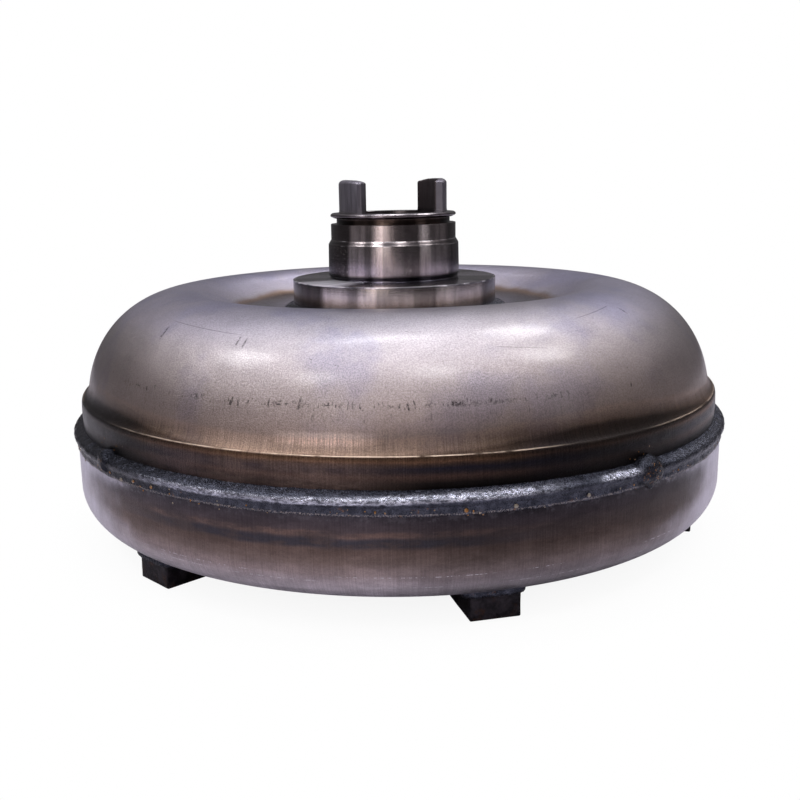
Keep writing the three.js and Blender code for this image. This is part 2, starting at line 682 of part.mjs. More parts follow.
// Assembly: turbine.
addPiece('turbine_shell', turbineShell(), stampedSteel);
addPiece('turbine_vanes', turbineVanes(), stampedSteel);
addPiece('turbine_hub', turbineHub(), hardSteel);
evenAngles(RIVET_COUNT).forEach((deg, i) => {
  addPiece(`turbine_rivet_${i + 1}`, turbineRivet(deg), hardSteel);
});
addPiece('damper_hub_plate', damperHubPlate(), hardSteel);
addPiece('piston_seal', ring(28.6, 30.1, 24.6, 26.2, INNER_SEGMENTS), sealRubber);

// Assembly: damper and lock-up piston.
addPiece('spring_retainer_upper', upperRetainer(), stampedSteel);
addPiece('spring_retainer_lower', lowerRetainer(), stampedSteel);
evenAngles(SPRING_COUNT).forEach((deg, i) => {
  addPiece(`damper_spring_${i + 1}`, damperSpring(deg), springSteel);
  addPiece(`damper_stop_pin_${i + 1}`, stopPin(deg + STOP_PIN_OFFSET), hardSteel);
});
addPiece('lockup_piston', lockupPiston(), stampedSteel);
const liningTop = PISTON_LOW_Z - GAP;
const lining = ring(108, 134, liningTop - LINING_THICKNESS, liningTop, INNER_SEGMENTS);
addPiece('friction_lining', lining, paperLining);

// Assembly: stator and one-way clutch.
addPiece('stator_wheel', statorWheel(), castAluminium);
addPiece('clutch_outer_race', ring(33.35, 40, 56, 76, INNER_SEGMENTS), hardSteel);
const bushing = [BUSHING_BORE_RADIUS, BUSHING_RADIUS];
addPiece('clutch_bushing_lower', ring(...bushing, 51.2, 55.7, INNER_SEGMENTS), bronze);
addPiece('clutch_bushing_upper', ring(...bushing, 76.3, 83.9, INNER_SEGMENTS), bronze);
addPiece('stator_snap_ring', ring(36.6, 41.3, 84.3, 85.8, INNER_SEGMENTS), springSteel);
addPiece('clutch_cage', clutchCage(), stampedSteel);
evenAngles(ROLLER_COUNT).forEach((deg, i) => {
  const roller = placedRound(rod(ROLLER_RADIUS, 58.1, 73.9, 10), ROLLER_CIRCLE_RADIUS, deg);
  addPiece(`clutch_roller_${i + 1}`, roller, hardSteel);
});
addPiece('clutch_inner_race', clutchInnerRace(), hardSteel);

// Assembly: thrust bearings on both sides of the stator.
addPiece('lower_bearing_washer_turbine', ring(...LOWER_WASHER, 44.9, 46.1, SMALL_SEGMENTS), hardSteel);
addPiece('lower_needle_cage', needleCage(19, 32, 47.9, 1.5), stampedSteel);
addPiece('lower_bearing_washer_stator', ring(...LOWER_WASHER, 49.7, 50.9, SMALL_SEGMENTS), hardSteel);
addPiece('upper_bearing_washer_stator', ring(...UPPER_WASHER, 84.3, 85.7, SMALL_SEGMENTS), hardSteel);
addPiece('upper_needle_cage', needleCage(24.5, 35.5, 87.9, 1.9), stampedSteel);
addPiece('upper_bearing_washer_hub', ring(...UPPER_WASHER, 90.1, 91.1, SMALL_SEGMENTS), hardSteel);

export default converter;
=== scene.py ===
"""A welded torque converter: camera, light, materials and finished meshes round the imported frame.

Shapes are given in millimetres in the frame's own axes and scaled to metres when meshed.
"""

import json
import math
import random
from functools import cached_property, reduce
from itertools import product
from math import cos, radians, sin

import bpy
from mathutils import Matrix, Vector, noise


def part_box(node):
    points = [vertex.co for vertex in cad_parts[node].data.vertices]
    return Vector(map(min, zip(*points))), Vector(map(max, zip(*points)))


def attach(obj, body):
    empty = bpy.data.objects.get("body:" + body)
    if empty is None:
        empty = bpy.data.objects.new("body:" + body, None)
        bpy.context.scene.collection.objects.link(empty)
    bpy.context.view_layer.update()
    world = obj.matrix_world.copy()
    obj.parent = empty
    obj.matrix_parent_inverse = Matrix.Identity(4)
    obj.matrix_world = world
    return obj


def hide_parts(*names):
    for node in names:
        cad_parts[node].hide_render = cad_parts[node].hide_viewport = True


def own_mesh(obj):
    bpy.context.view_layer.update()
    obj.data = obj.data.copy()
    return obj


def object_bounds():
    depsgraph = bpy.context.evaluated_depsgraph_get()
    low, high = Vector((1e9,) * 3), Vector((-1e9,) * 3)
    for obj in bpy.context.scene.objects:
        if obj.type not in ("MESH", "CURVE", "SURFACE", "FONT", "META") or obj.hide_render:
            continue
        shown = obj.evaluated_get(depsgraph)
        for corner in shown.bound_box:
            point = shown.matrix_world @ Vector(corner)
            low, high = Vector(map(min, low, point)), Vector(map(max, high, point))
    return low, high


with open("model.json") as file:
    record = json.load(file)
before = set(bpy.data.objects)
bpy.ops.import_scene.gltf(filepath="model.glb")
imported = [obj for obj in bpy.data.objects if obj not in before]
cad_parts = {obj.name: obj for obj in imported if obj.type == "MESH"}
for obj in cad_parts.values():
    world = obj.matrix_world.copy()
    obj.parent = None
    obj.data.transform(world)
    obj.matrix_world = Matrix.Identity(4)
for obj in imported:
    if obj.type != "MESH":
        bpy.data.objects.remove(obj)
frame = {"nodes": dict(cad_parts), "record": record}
cad_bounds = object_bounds()

MM = 0.001
TURN = 2 * math.pi


def add_object(name, data):
    made = bpy.data.objects.new(name, data)
    bpy.context.scene.collection.objects.link(made)
    return made


def mesh_in_metres(name, vertices, faces):
    mesh = bpy.data.meshes.new(name)
    mesh.from_pydata([tuple(MM * c for c in v) for v in vertices], [], faces)
    return mesh


# ---------------- sizes, from the frame


def box_mm(node):
    low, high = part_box(node)
    return low / MM, high / MM


COVER_LOW, COVER_HIGH = box_mm("front_cover")
SHELL_LOW, SHELL_HIGH = box_mm("impeller_shell")
HUB_LOW, HUB_HIGH = box_mm("pump_hub")
PILOT_LOW, PILOT_HIGH = box_mm("crank_pilot")
LUG_LOW, LUG_HIGH = box_mm("drive_lug_1")

COVER_RADIUS = COVER_HIGH.x
COVER_FACE_Z = COVER_LOW.z
COVER_RIM_Z = COVER_HIGH.z
COVER_WALL = 5
COVER_CORNER = 16.9
COVER_DISH = 4.7
PILOT_SEAT_RADIUS = 24.2

SKIRT_RADIUS = SHELL_HIGH.x
SHELL_WALL = 4
TORUS_TUBE = 49
TORUS_Z = SHELL_HIGH.z - TORUS_TUBE
TORUS_RADIUS = 98.7
CREST_ARC = 20
CREST_SHIFT = 1.9
CREST_DROP = 0.3
RIDGE_Z = 67.3
RECESS_Z = 102.5
RECESS_FILLET = 10
RECESS_FILLET_RADIUS = 71.4
RECESS_BORE = 42.3

BEAD_FOOT_RADIUS = 154.15
BEAD_FOOT_Z = 46.6
LUMP_ANGLES = (-65.9, 24.1, 114.1, 204.1)
# Degrees round to the side that faces the camera; the materials place painted highlights, painted shade
# and some heat colours by it.
CAMERA_SIDE_ANGLE = -104.7
ROW_ANGLE = -116

HUB_BORE = 21.5
HUB_FLANGE_RADIUS = HUB_HIGH.x
COLLAR_TOP_Z = 146.9
TANG_OUTER = 25.8
TANG_ANGLE = 1.3
TANG_HALF_WIDTH = 39

LUG_COUNT = 6
LUG_OUTER = -LUG_LOW.y
LUG_INNER = -LUG_HIGH.y
LUG_WIDTH = LUG_HIGH.x - LUG_LOW.x
LUG_HOLE_RADIUS = 5.1
LUG_HOLE_CIRCLE = 131
THREAD_PITCH = 1.75
THREAD_TURNS = 6
THREAD_DEPTH = 0.6

SPRING_COUNT = 4
SPRING_TURNS = 7
SPRING_STEPS = 20
SPRING_WIRE = 0.8
SPRING_COIL = 2.9

# ---------------- camera

VIEW_TURN = radians(-14.7)
CAMERA_DISTANCE = 0.48564
CAMERA_HEIGHT = 0.16303
CAMERA_PITCH = radians(12.604)
CAMERA_YAW = radians(-1.6735)
CAMERA_ROLL = radians(-1.2403)
CAMERA_LENS = 44.64
CAMERA_SENSOR = 36
CAMERA_SHIFT = 0.0406


def from_view(vector):
    """A vector given as right, away and up from the viewer, in the frame's axes."""
    return Matrix.Rotation(VIEW_TURN, 3, "Z") @ Vector(vector)


def make_camera():
    data = bpy.data.cameras.new("camera")
    data.lens = CAMERA_LENS
    data.sensor_width = CAMERA_SENSOR
    data.shift_x = CAMERA_SHIFT
    data.clip_start = 0.01
    camera = add_object("camera", data)
    level_reach = cos(CAMERA_PITCH)
    ahead = Vector((
        sin(CAMERA_YAW) * level_reach, cos(CAMERA_YAW) * level_reach, -sin(CAMERA_PITCH),
    ))
    level = Vector((cos(CAMERA_YAW), -sin(CAMERA_YAW), 0))
    above = level.cross(ahead)
    side = cos(CAMERA_ROLL) * level + sin(CAMERA_ROLL) * above
    top = cos(CAMERA_ROLL) * above - sin(CAMERA_ROLL) * level
    axes = Matrix((from_view(side), from_view(top), from_view(-ahead))).transposed()
    place = from_view((0, -CAMERA_DISTANCE, CAMERA_HEIGHT))
    camera.matrix_world = Matrix.Translation(place) @ axes.to_4x4()
    bpy.context.scene.camera = camera


make_camera()

# ---------------- nodes


def linear(red, green, blue):
    """A colour given as 0 to 255 display values, as the shader's linear values."""
    def channel(value):
        value /= 255
        return value / 12.92 if value <= 0.04045 else ((value + 0.055) / 1.055) ** 2.4
    return (channel(red), channel(green), channel(blue), 1)


def add_node(tree, kind, inputs, **settings):
    """A new node: its settings, then its inputs, each a plain value or a socket to link from."""
    node = tree.nodes.new("ShaderNode" + kind)
    for name, setting in settings.items():
        setattr(node, name, setting)
    for place, value in inputs.items():
        if isinstance(value, Value):
            value = value.socket
        if isinstance(value, bpy.types.NodeSocket):
            tree.links.new(value, node.inputs[place])
        else:
            node.inputs[place].default_value = value
    return node


def fill_ramp(node, stops):
    """Gives a colour ramp its stops, each a place from 0 to 1 and a linear colour."""
    elements = node.color_ramp.elements
    elements[0].position, elements[0].color = stops[0]
    elements[1].position, elements[1].color = stops[-1]
    for place, color in stops[1:-1]:
        elements.new(place).color = color


class Value:
    """The output of one of a shader's nodes, which takes the usual arithmetic."""

    def __init__(self, shader, socket):
        self.shader = shader
        self.socket = socket

    def __add__(self, other):
        return self.shader.math("ADD", self, other)

    def __sub__(self, other):
        return self.shader.math("SUBTRACT", self, other)

    def __mul__(self, other):
        return self.shader.math("MULTIPLY", self, other)

    def __truediv__(self, other):
        return self.shader.math("DIVIDE", self, other)

    def __abs__(self):
        return self.shader.math("ABSOLUTE", self)

    def cosine(self):
        """The cosine of a value in degrees."""
        return self.shader.math("COSINE", self.shader.math("RADIANS", self))

    def span(self, low, high, to_low=0, to_high=1, kind="SMOOTHSTEP"):
        """Goes from one level to the other as the value goes from low to high, and no further."""
        return self.shader.node("MapRange", {
            "Value": self, "From Min": low, "From Max": high, "To Min": to_low, "To Max": to_high,
        }, "Result", interpolation_type=kind)

    def span_plain(self, to_low, to_high):
        """Goes from one level to the other as the value goes from 0 to 1, and on beyond them."""
        return self.shader.math("MULTIPLY_ADD", self, to_high - to_low, to_low)

    def band(self, centre, half, soft):
        """One inside centre plus or minus half, falling to nothing over soft."""
        return abs(self - centre).span(half, half + soft, 1, 0)

    def ramp(self, stops):
        """Colours at places along the value, the places in the value's own units."""
        low, high = stops[0][0], stops[-1][0]
        node = add_node(self.shader.tree, "ValToRGB", {0: self.span(low, high, kind="LINEAR")})
        fill_ramp(node, [((at - low) / (high - low), linear(*color)) for at, color in stops])
        return Value(self.shader, node.outputs["Color"])


# ---------------- light

# Each softbox: degrees round from the viewer to the right, degrees up, size in metres, power in watts.
SOFTBOXES = (
    (-83, 53, 0.32, 3.7),
    (-36, 50, 0.25, 1.9),
    (20, 58, 0.25, 2),
    (129, 60, 0.32, 2.8),
    (81, 52, 0.32, 2.8),
)
LIGHT_DISTANCE = 1.3
LIGHT_AIM = Vector((0, 0, 0.08))

# Each strip: degrees round, degrees up, width and height in metres, power, linear colour.
STRIPS = (
    (-18, 20, 0.42, 0.8, 1.8, (1, 0.92, 0.89)),
    (57, 15, 0.16, 0.55, 0.32, (0.96, 0.97, 1)),
    (-166, 81, 0.46, 0.15, 3, (1, 1, 1)),
)


def lamp(name, shape, around, up, size, power):
    data = bpy.data.lights.new(name, "AREA")
    data.shape = shape
    data.size = size
    data.energy = power
    around, up = radians(around), radians(up)
    toward = from_view((sin(around) * cos(up), -cos(around) * cos(up), sin(up)))
    light = add_object(name, data)
    light.location = LIGHT_AIM + LIGHT_DISTANCE * toward
    light.rotation_euler = toward.to_track_quat("Z", "Y").to_euler()
    return data


# The unseen studio, as the sine of the height above the horizon and its linear colour.
SKY = (
    (0, (0.12, 0.115, 0.12)),
    (0.25, (0.16, 0.152, 0.16)),
    (0.5, (0.3, 0.285, 0.3)),
    (0.72, (0.46, 0.44, 0.47)),
    (0.9, (0.72, 0.7, 0.77)),
    (1, (0.8, 0.78, 0.86)),
)
# Towards this side, given as right, away and up from the viewer, the studio dims to a share of its light.
DIM_TOWARD = (0.35, -0.94, -0.9)
DIM_FULLY_AT = 0.9
DIM_SHARE = 0.42


def make_world():
    world = bpy.data.worlds.new("studio")
    bpy.context.scene.world = world
    world.use_nodes = True
    tree = world.node_tree
    tree.nodes.clear()
    place = add_node(tree, "TexCoord", {}).outputs["Generated"]
    height = add_node(tree, "SeparateXYZ", {0: place}).outputs["Z"]
    sky = add_node(tree, "ValToRGB", {0: height})
    fill_ramp(sky, [(at, (*color, 1)) for at, color in SKY])
    toward = add_node(tree, "VectorMath", {0: place, 1: from_view(DIM_TOWARD)}, operation="DOT_PRODUCT")
    dim = add_node(tree, "MapRange", {
        "Value": toward.outputs["Value"], "From Min": 0, "From Max": DIM_FULLY_AT,
        "To Min": 1, "To Max": DIM_SHARE,
    }, interpolation_type="SMOOTHSTEP")
    lit = add_node(tree, "Background", {"Strength": dim.outputs["Result"], "Color": sky.outputs[0]})
    shown = add_node(tree, "Background", {"Color": (1, 1, 1, 1)})
    seen = add_node(tree, "LightPath", {}).outputs["Is Camera Ray"]
    mix = add_node(tree, "MixShader", {0: seen, 1: lit.outputs[0], 2: shown.outputs[0]})
    add_node(tree, "OutputWorld", {0: mix.outputs[0]})


make_world()
for number, (around, up, size, power) in enumerate(SOFTBOXES):
    lamp(f"softbox_{number}", "DISK", around, up, size, power)
for number, (around, up, width, height, power, tone) in enumerate(STRIPS):
    strip = lamp(f"strip_{number}", "RECTANGLE", around, up, width, power)
    strip.size_y = height
    strip.color = tone
bpy.context.scene.view_settings.view_transform = "Standard"

# ---------------- material helper


class Shader:
    """A Principled material and the nodes that feed it, with places in mm; color is the colour so far."""

    def __init__(self, name, metallic=1, roughness=0.4):
        self.material = bpy.data.materials.new(name)
        self.material.use_nodes = True
        self.tree = self.material.node_tree
        self.main = self.tree.nodes["Principled BSDF"]
        self.main.inputs["Metallic"].default_value = metallic
        self.main.inputs["Roughness"].default_value = roughness
        metres = self.node("TexCoord", {}, "Object")
        self.place = self.node("VectorMath", {0: metres, "Scale": 1 / MM}, operation="SCALE")
        split = add_node(self.tree, "SeparateXYZ", {0: self.place})
        self.x, self.y, self.z = (Value(self, socket) for socket in split.outputs)
        self.color = None

    def node(self, kind, inputs, output=0, **settings):
        return Value(self, add_node(self.tree, kind, inputs, **settings).outputs[output])

    def feed(self, value, name):
        """Links a value to one of the Principled shader's inputs."""
        self.tree.links.new(value.socket, self.main.inputs[name])

    def math(self, operation, *values):
        return self.node("Math", dict(enumerate(values)), operation=operation)

    @cached_property
    def radius(self):
        return self.math("SQRT", self.x * self.x + self.y * self.y)

    @cached_property
    def angle(self):
        """Degrees round the axis, from -180 to 180."""
        return self.math("DEGREES", self.math("ARCTAN2", self.y, self.x))

    @cached_property
    def front(self):
        """Degrees round the axis from the side that faces the camera, from -180 to 180."""
        return self.math("FLOORED_MODULO", self.angle - CAMERA_SIDE_ANGLE + 180, 360) - 180

    def vector(self, x, y, z):
        return self.node("CombineXYZ", {0: x, 1: y, 2: z})

    def noise(self, scale, detail=3, roughness=0.55, place=None, distortion=0):
        return self.node("TexNoise", {
            "Vector": place or self.place, "Scale": scale, "Detail": detail, "Roughness": roughness,
            "Distortion": distortion,
        }, "Fac")

    def streaks(self, around, along, detail=3, roughness=0.6):
        """Noise that closes on itself round the axis, drawn out where it has few steps along it."""
        x, y = (part / self.radius * around for part in (self.x, self.y))
        return self.noise(1, detail, roughness, self.vector(x, y, self.z * along))

    def any_of(self, values):
        """The greatest of the values."""
        return reduce(lambda greatest, value: self.math("MAXIMUM", greatest, value), values)

    def mix(self, amount, first, second, mode="MIX"):
        first, second = (linear(*c) if isinstance(c, tuple) else c for c in (first, second))
        inputs = {"Factor": amount, 6: first, 7: second}
        return self.node("Mix", inputs, 2, data_type="RGBA", blend_type=mode)

    def paint(self, amount, color):
        """Lays a colour over the colour so far."""
        self.color = self.mix(amount, self.color, color)

    def tint(self, amount, factor):
        """Multiplies the colour so far by another, by that amount."""
        self.paint(amount, self.mix(1, self.color, factor, "MULTIPLY"))

    def dim(self, grey):
        self.color = self.mix(1, self.color, self.vector(grey, grey, grey), "MULTIPLY")

    def shade(self, *shades):
        """Dims by greys, each of which runs from low to high as its value runs from 0 to 1."""
        for value, low, high in shades:
            self.dim(value.span_plain(low, high))

    def finish(self, roughness, height=None, bump=0.1, distance=0.001):
        self.feed(self.color, "Base Color")
        self.feed(roughness, "Roughness")
        if height is not None:
            inputs = {"Strength": bump, "Distance": distance, "Height": height}
            self.feed(self.node("Bump", inputs), "Normal")
        return self.material


# ---------------- materials of the outside


def lump_lobes(s):
    """One beside each of the four weld lumps, falling to nothing half way between them."""
    wave = ((s.angle - (LUMP_ANGLES[1] - 6)) * len(LUMP_ANGLES)).cosine()
    return s.math("POWER", wave.span_plain(0.5, 1), 1.6)


def dark_marks(s, marks):
    """Small dark strokes: each is degrees round, height, half width, half height, lean."""
    strokes = []
    for around, height, half_width, half_height, lean in marks:
        up = s.z - height
        across = (s.angle - around) * (TORUS_RADIUS * TURN / 360) - up * lean
        inside = across.band(0, half_width * 0.4, half_width)
        strokes.append(inside * up.band(0, half_height * 0.6, half_height))
    return s.any_of(strokes)


def long_scratches(s, lines):
    """Hair-thin scratches: each is degrees round, height, half length in degrees, rise per degree."""
    strokes = []
    for around, height, reach, rise in lines:
        across = s.angle - around
        up = s.z - s.math("MULTIPLY_ADD", across, rise, height)
        inside = across.band(0, reach * 0.7, reach * 0.3)
        strokes.append(inside * up.band(0, 0.04, 0.12))
    return s.any_of(strokes)


def shell_material():
    """The dome and skirt: drawn steel, tinted brown and then blue-black by the weld's heat."""
    s = Shader("heat_tinted_shell_steel")
    drawn = s.streaks(330, 0.05).span(0.34, 0.66)
    cloud = s.noise(0.035, 4, 0.6)
    blotch = s.noise(0.11, 4, 0.65)
    grain = s.noise(1.7, 3, 0.8).span(0.34, 0.66)
    wobble = s.noise(0.025, 2).span_plain(-2, 2)
    lobes = lump_lobes(s)
    tint_z = s.z - lobes * 5 + wobble
    # Heat colours up the dome by height; the stops at 72.2 and 73.6 are lifted as a painted highlight at
    # the dome's foot.
    dome = tint_z.ramp((
        (60, (44, 38, 36)), (66.5, (84, 68, 58)), (68, (142, 120, 106)), (72.2, (170, 148, 136)),
        (73.6, (162, 145, 137)), (79, (165, 150, 146)), (90, (169, 158, 158)),
        (104, (178, 171, 176)), (113, (170, 166, 178)),
    ))
    s.color = (s.z + (blotch - 0.5) * 1.4).ramp((
        (45, (18, 17, 18)), (55.5, (25, 23, 23)), (57.5, (38, 34, 33)), (60, (84, 66, 60)),
        (61.6, (54, 48, 52)), (63, (46, 44, 54)), (64.4, (76, 62, 56)), (65.4, (118, 90, 72)),
        (66.8, (70, 54, 44)),
    ))
    # Painted highlight on the skirt left of the front, broken into streaks.
    skirt_highlight = s.front.band(-22, 12, 16) * s.z.span(66.5, 64)
    skirt_highlight *= s.streaks(10, 0.25, 4).span(0.34, 0.6, 0.35, 0.75)
    s.paint(skirt_highlight, (104, 88, 82))
    s.paint(s.z.span(66.9, 67.3), dome)
    sooty = lobes.span(0.22, 0.9) * (s.z + wobble).span(82, 66)
    s.paint(sooty * 0.84, (30, 27, 27))
    foot = s.z.span(74, 72) * s.z.span(54, 66, 0.35, 1)
    s.shade(
        ((drawn - 0.5) * foot, 1, 1.28), (cloud, 0.86, 1.12), (blotch, 0.9, 1.1),
        (grain, 0.79, 1.21),
    )
    tarnish = s.noise(0.022, 4, 0.6).span(0.46, 0.62) * 0.55
    s.tint(tarnish, (216, 220, 244))
    brushed = (drawn - 0.5) * s.z.span(94, 76)
    # Brushed lines, and painted shade on the dome's left flank below the crest.
    s.shade(
        (brushed, 1, 1.12),
        (s.front.band(-66, 14, 16) * s.z.span(106, 96), 1, 0.82),
    )

    # Off to the sides the crest kept its blue; low at the front, left of middle, a painted highlight lies
    # on the brushed steel, with painted shade right of middle.
    crest = abs(s.front - 5).span(14, 50) * s.z.span(98, 108)
    s.tint(crest, s.vector(1.1, 1.11, 1.22))
    patch = s.z.band(72.6, 1.3, 1.8) * s.front.band(-10, 4.5, 4)
    patch *= drawn.span_plain(0.5, 1)
    s.shade(
        (patch, 1, 1.75),
        (s.z.span(79, 73) * s.front.band(7, 8, 8), 1, 0.72),
    )

    # The sunk floor round the hub was heated by the hub weld.
    radius = s.radius + (cloud - 0.5) * 6
    floor_tint = radius.ramp((
        (49, (120, 116, 126)), (56, (92, 88, 100)), (62, (40, 38, 44)), (69, (34, 28, 27)),
        (73.5, (62, 44, 36)), (77, (132, 108, 92)), (81, (172, 166, 172)),
    ))
    s.paint(s.z.span(96, 100) * radius.span(81, 77.5), floor_tint)

    # A broken row of dark smudges round the dome, and single strokes.
    ticks = s.streaks(150, 0.22, 4, 0.65)
    blots = s.streaks(80, 0.55, 5, 0.75)
    patches = s.streaks(17, 0)
    heights = s.streaks(60, 0, 1, 0.5)
    marked = ((s.angle - ROW_ANGLE) * 2).cosine().span(0.05, 0.45)
    row_z = s.z + (patches - 0.5) * 3
    reach = heights.span(0.4, 0.62, 1.9, 0.6)
    upright = (abs(row_z - 84.4) / reach).span(1, 0.7) * ticks.span(0.55, 0.62)
    upright *= patches.span(0.44, 0.54)
    blotted = row_z.band(84.2, 0.3, 1.2) * blots.span(0.49, 0.59)
    blotted *= patches.span(0.56, 0.44)
    row = s.math("MAXIMUM", upright, blotted) * marked
    low_row = row_z.band(80.6, 1, 1.2) * ticks.span(0.58, 0.66)
    low_row *= marked * patches.span(0.42, 0.52)
    specks = s.noise(0.42, 4, 0.8).span(0.66, 0.74) * s.z.span(76, 90)
    marks = dark_marks(s, (
        (-151.2, 103.4, 0.55, 1.8, -0.25), (-132.2, 103.6, 0.35, 1.2, 0), (-130.7, 103.2, 0.35, 1.3, 0),
        (-54.7, 108, 0.4, 0.9, 0), (-66, 84, 0.3, 0.8, 0.2), (-118.6, 84.6, 0.35, 1.8, 0.1),
        (-128.4, 83.8, 0.35, 1.4, 0), (-122, 84.1, 1.1, 0.25, 0), (-114.5, 84.3, 1.6, 0.2, 0),
    ))
    marks *= s.noise(0.9, 3, 0.8).span(0.36, 0.56)
    chatter = s.streaks(180, 0.5, 2, 0.5).span(0.5, 0.6)
    arc_of_dots = long_scratches(s, ((-115.5, 98, 3.6, -0.42),)) * chatter
    hair = long_scratches(s, (
        (-142.5, 106.6, 11, -0.1), (-63, 109, 7, 0.16), (-84, 101, 5, -0.2),
    ))
    soot = s.any_of([
        row * 0.84, low_row * 0.4, specks * 0.5, marks * 0.8, hair * 0.4, arc_of_dots * 0.7,
    ])
    s.paint(soot, (50, 45, 47))

    # The ridge is bright, partly rubbed and partly a painted highlight, except where the weld lumps
    # blackened it.
    wear_and_highlight = s.noise(0.09, 3).span(0.36, 0.56) * lobes.span(1, 0.45)
    ridge = s.z.band(RIDGE_Z + 0.05, 0.07, 0.12) * wear_and_highlight
    s.paint(ridge * 0.65, (226, 204, 184))

    rough = s.noise(0.12, 5, 0.65).span_plain(0.27, 0.43)
    rough += soot * 0.2
    height = grain * 0.22 + drawn * foot * 0.12
    height += s.noise(0.045, 2) * 3
    s.feed(s.z.span(70, 80, 0, 0.5), "Coat Weight")
    s.main.inputs["Coat Roughness"].default_value = 0.19
    return s.finish(rough, height, 0.5, 0.0006)


def cover_material():
    """The cover: silver below, browned and blackened towards the weld on two sides, with painted light
    low down and painted shade right of the front.
    """
    s = Shader("heat_tinted_cover_steel")
    drawn = s.streaks(330, 0.05).span(0.34, 0.66)
    cloud = s.noise(0.04, 4, 0.6)
    blotch = s.noise(0.12, 5, 0.7)
    long_blotch = s.streaks(9, 0.2, 5, 0.65)
    grain = s.noise(1.7, 3, 0.8).span(0.34, 0.66)
    wobble = (s.noise(0.05, 4) - 0.5) * 3
    tint_z = s.z + wobble
    # Heat colours by height, silver low down to blue-black at the weld; the lowest stops are lifted as
    # painted light.
    s.color = tint_z.ramp((
        (12, (220, 215, 224)), (15, (204, 197, 203)), (20, (178, 167, 171)),
        (24, (144, 130, 129)), (29, (116, 101, 96)), (33, (98, 83, 78)), (38, (88, 77, 76)),
        (42, (76, 68, 72)), (46, (66, 62, 68)), (51, (50, 50, 58)),
    ))
    hottest = s.front.band(-12, 14, 26)
    streak = tint_z.band(36.2, 0.9, 1.8) * long_blotch.span(0.36, 0.56, 0.25, 0.85)
    streak *= hottest
    s.paint(streak, (56, 56, 64))
    rim_brown = tint_z.band(39.4, 0.4, 1.2) * long_blotch.span(0.38, 0.62)
    s.paint(rim_brown * 0.6 * hottest, (112, 90, 82))
    # Long blotches, and painted shade on the wall right of the front.
    s.shade(
        (long_blotch.span(0.32, 0.68), 0.82, 1.16),
        (s.front.band(29, 15, 22), 1.04, 0.57),
    )
    silver = tint_z.ramp(((10, (204, 200, 210)), (38, (200, 196, 208)), (51, (196, 194, 208))))

    # Two sides of the wall, left and right of the camera, are silver; the front and back are browned.
    wave = ((s.angle - CAMERA_SIDE_ANGLE) * 2).cosine()
    away = wave.span_plain(0.5, 0) + (cloud - 0.5) * 0.3
    away -= tint_z.band(37, 3, 8) * 0.14
    s.paint(away.span(0.38, 0.74) * 0.9, silver)
    s.shade(
        (drawn, 0.9, 1.1), (cloud, 0.86, 1.12), (blotch, 0.8, 1.2), (grain, 0.9, 1.1),
    )

    # Scale that flaked to bright metal along the edge of the weld.
    edge = s.z.band(45.6, 0.7, 1.4) * s.noise(0.3, 5, 0.75).span(0.5, 0.58)
    edge *= away.span(0.3, 0.62, 0.06, 0.75)
    s.paint(edge, (176, 172, 182))

    # Fine bright scratches that run round the lower corner.
    lines = s.any_of([(s.z + wobble * 0.12).band(z, 0.03, 0.1) for z in (18.6, 20.9, 23.2)])
    lines *= s.streaks(95, 0.6).span(0.5, 0.56)
    lines *= s.streaks(5, 0.5, 2, 0.5).span(0.46, 0.56)
    s.paint(lines * 0.85, (232, 230, 236))
    specks = s.noise(0.5, 4, 0.8).span(0.68, 0.75)
    s.paint(specks * 0.5, (40, 36, 36))

    # Rings left by the press on the flat face underneath.
    rings = s.noise(1, 3, 0.6, place=s.vector(s.radius * 0.6, 0, 0))
    s.shade((s.z.span(17, 15.5) * rings, 1, 0.7))

    rough = s.noise(0.15, 5, 0.65).span_plain(0.28, 0.5)
    height = grain * 0.22 + drawn * 0.08
    height += s.noise(0.05, 2) * 2
    return s.finish(rough, height, 0.28, 0.0006)


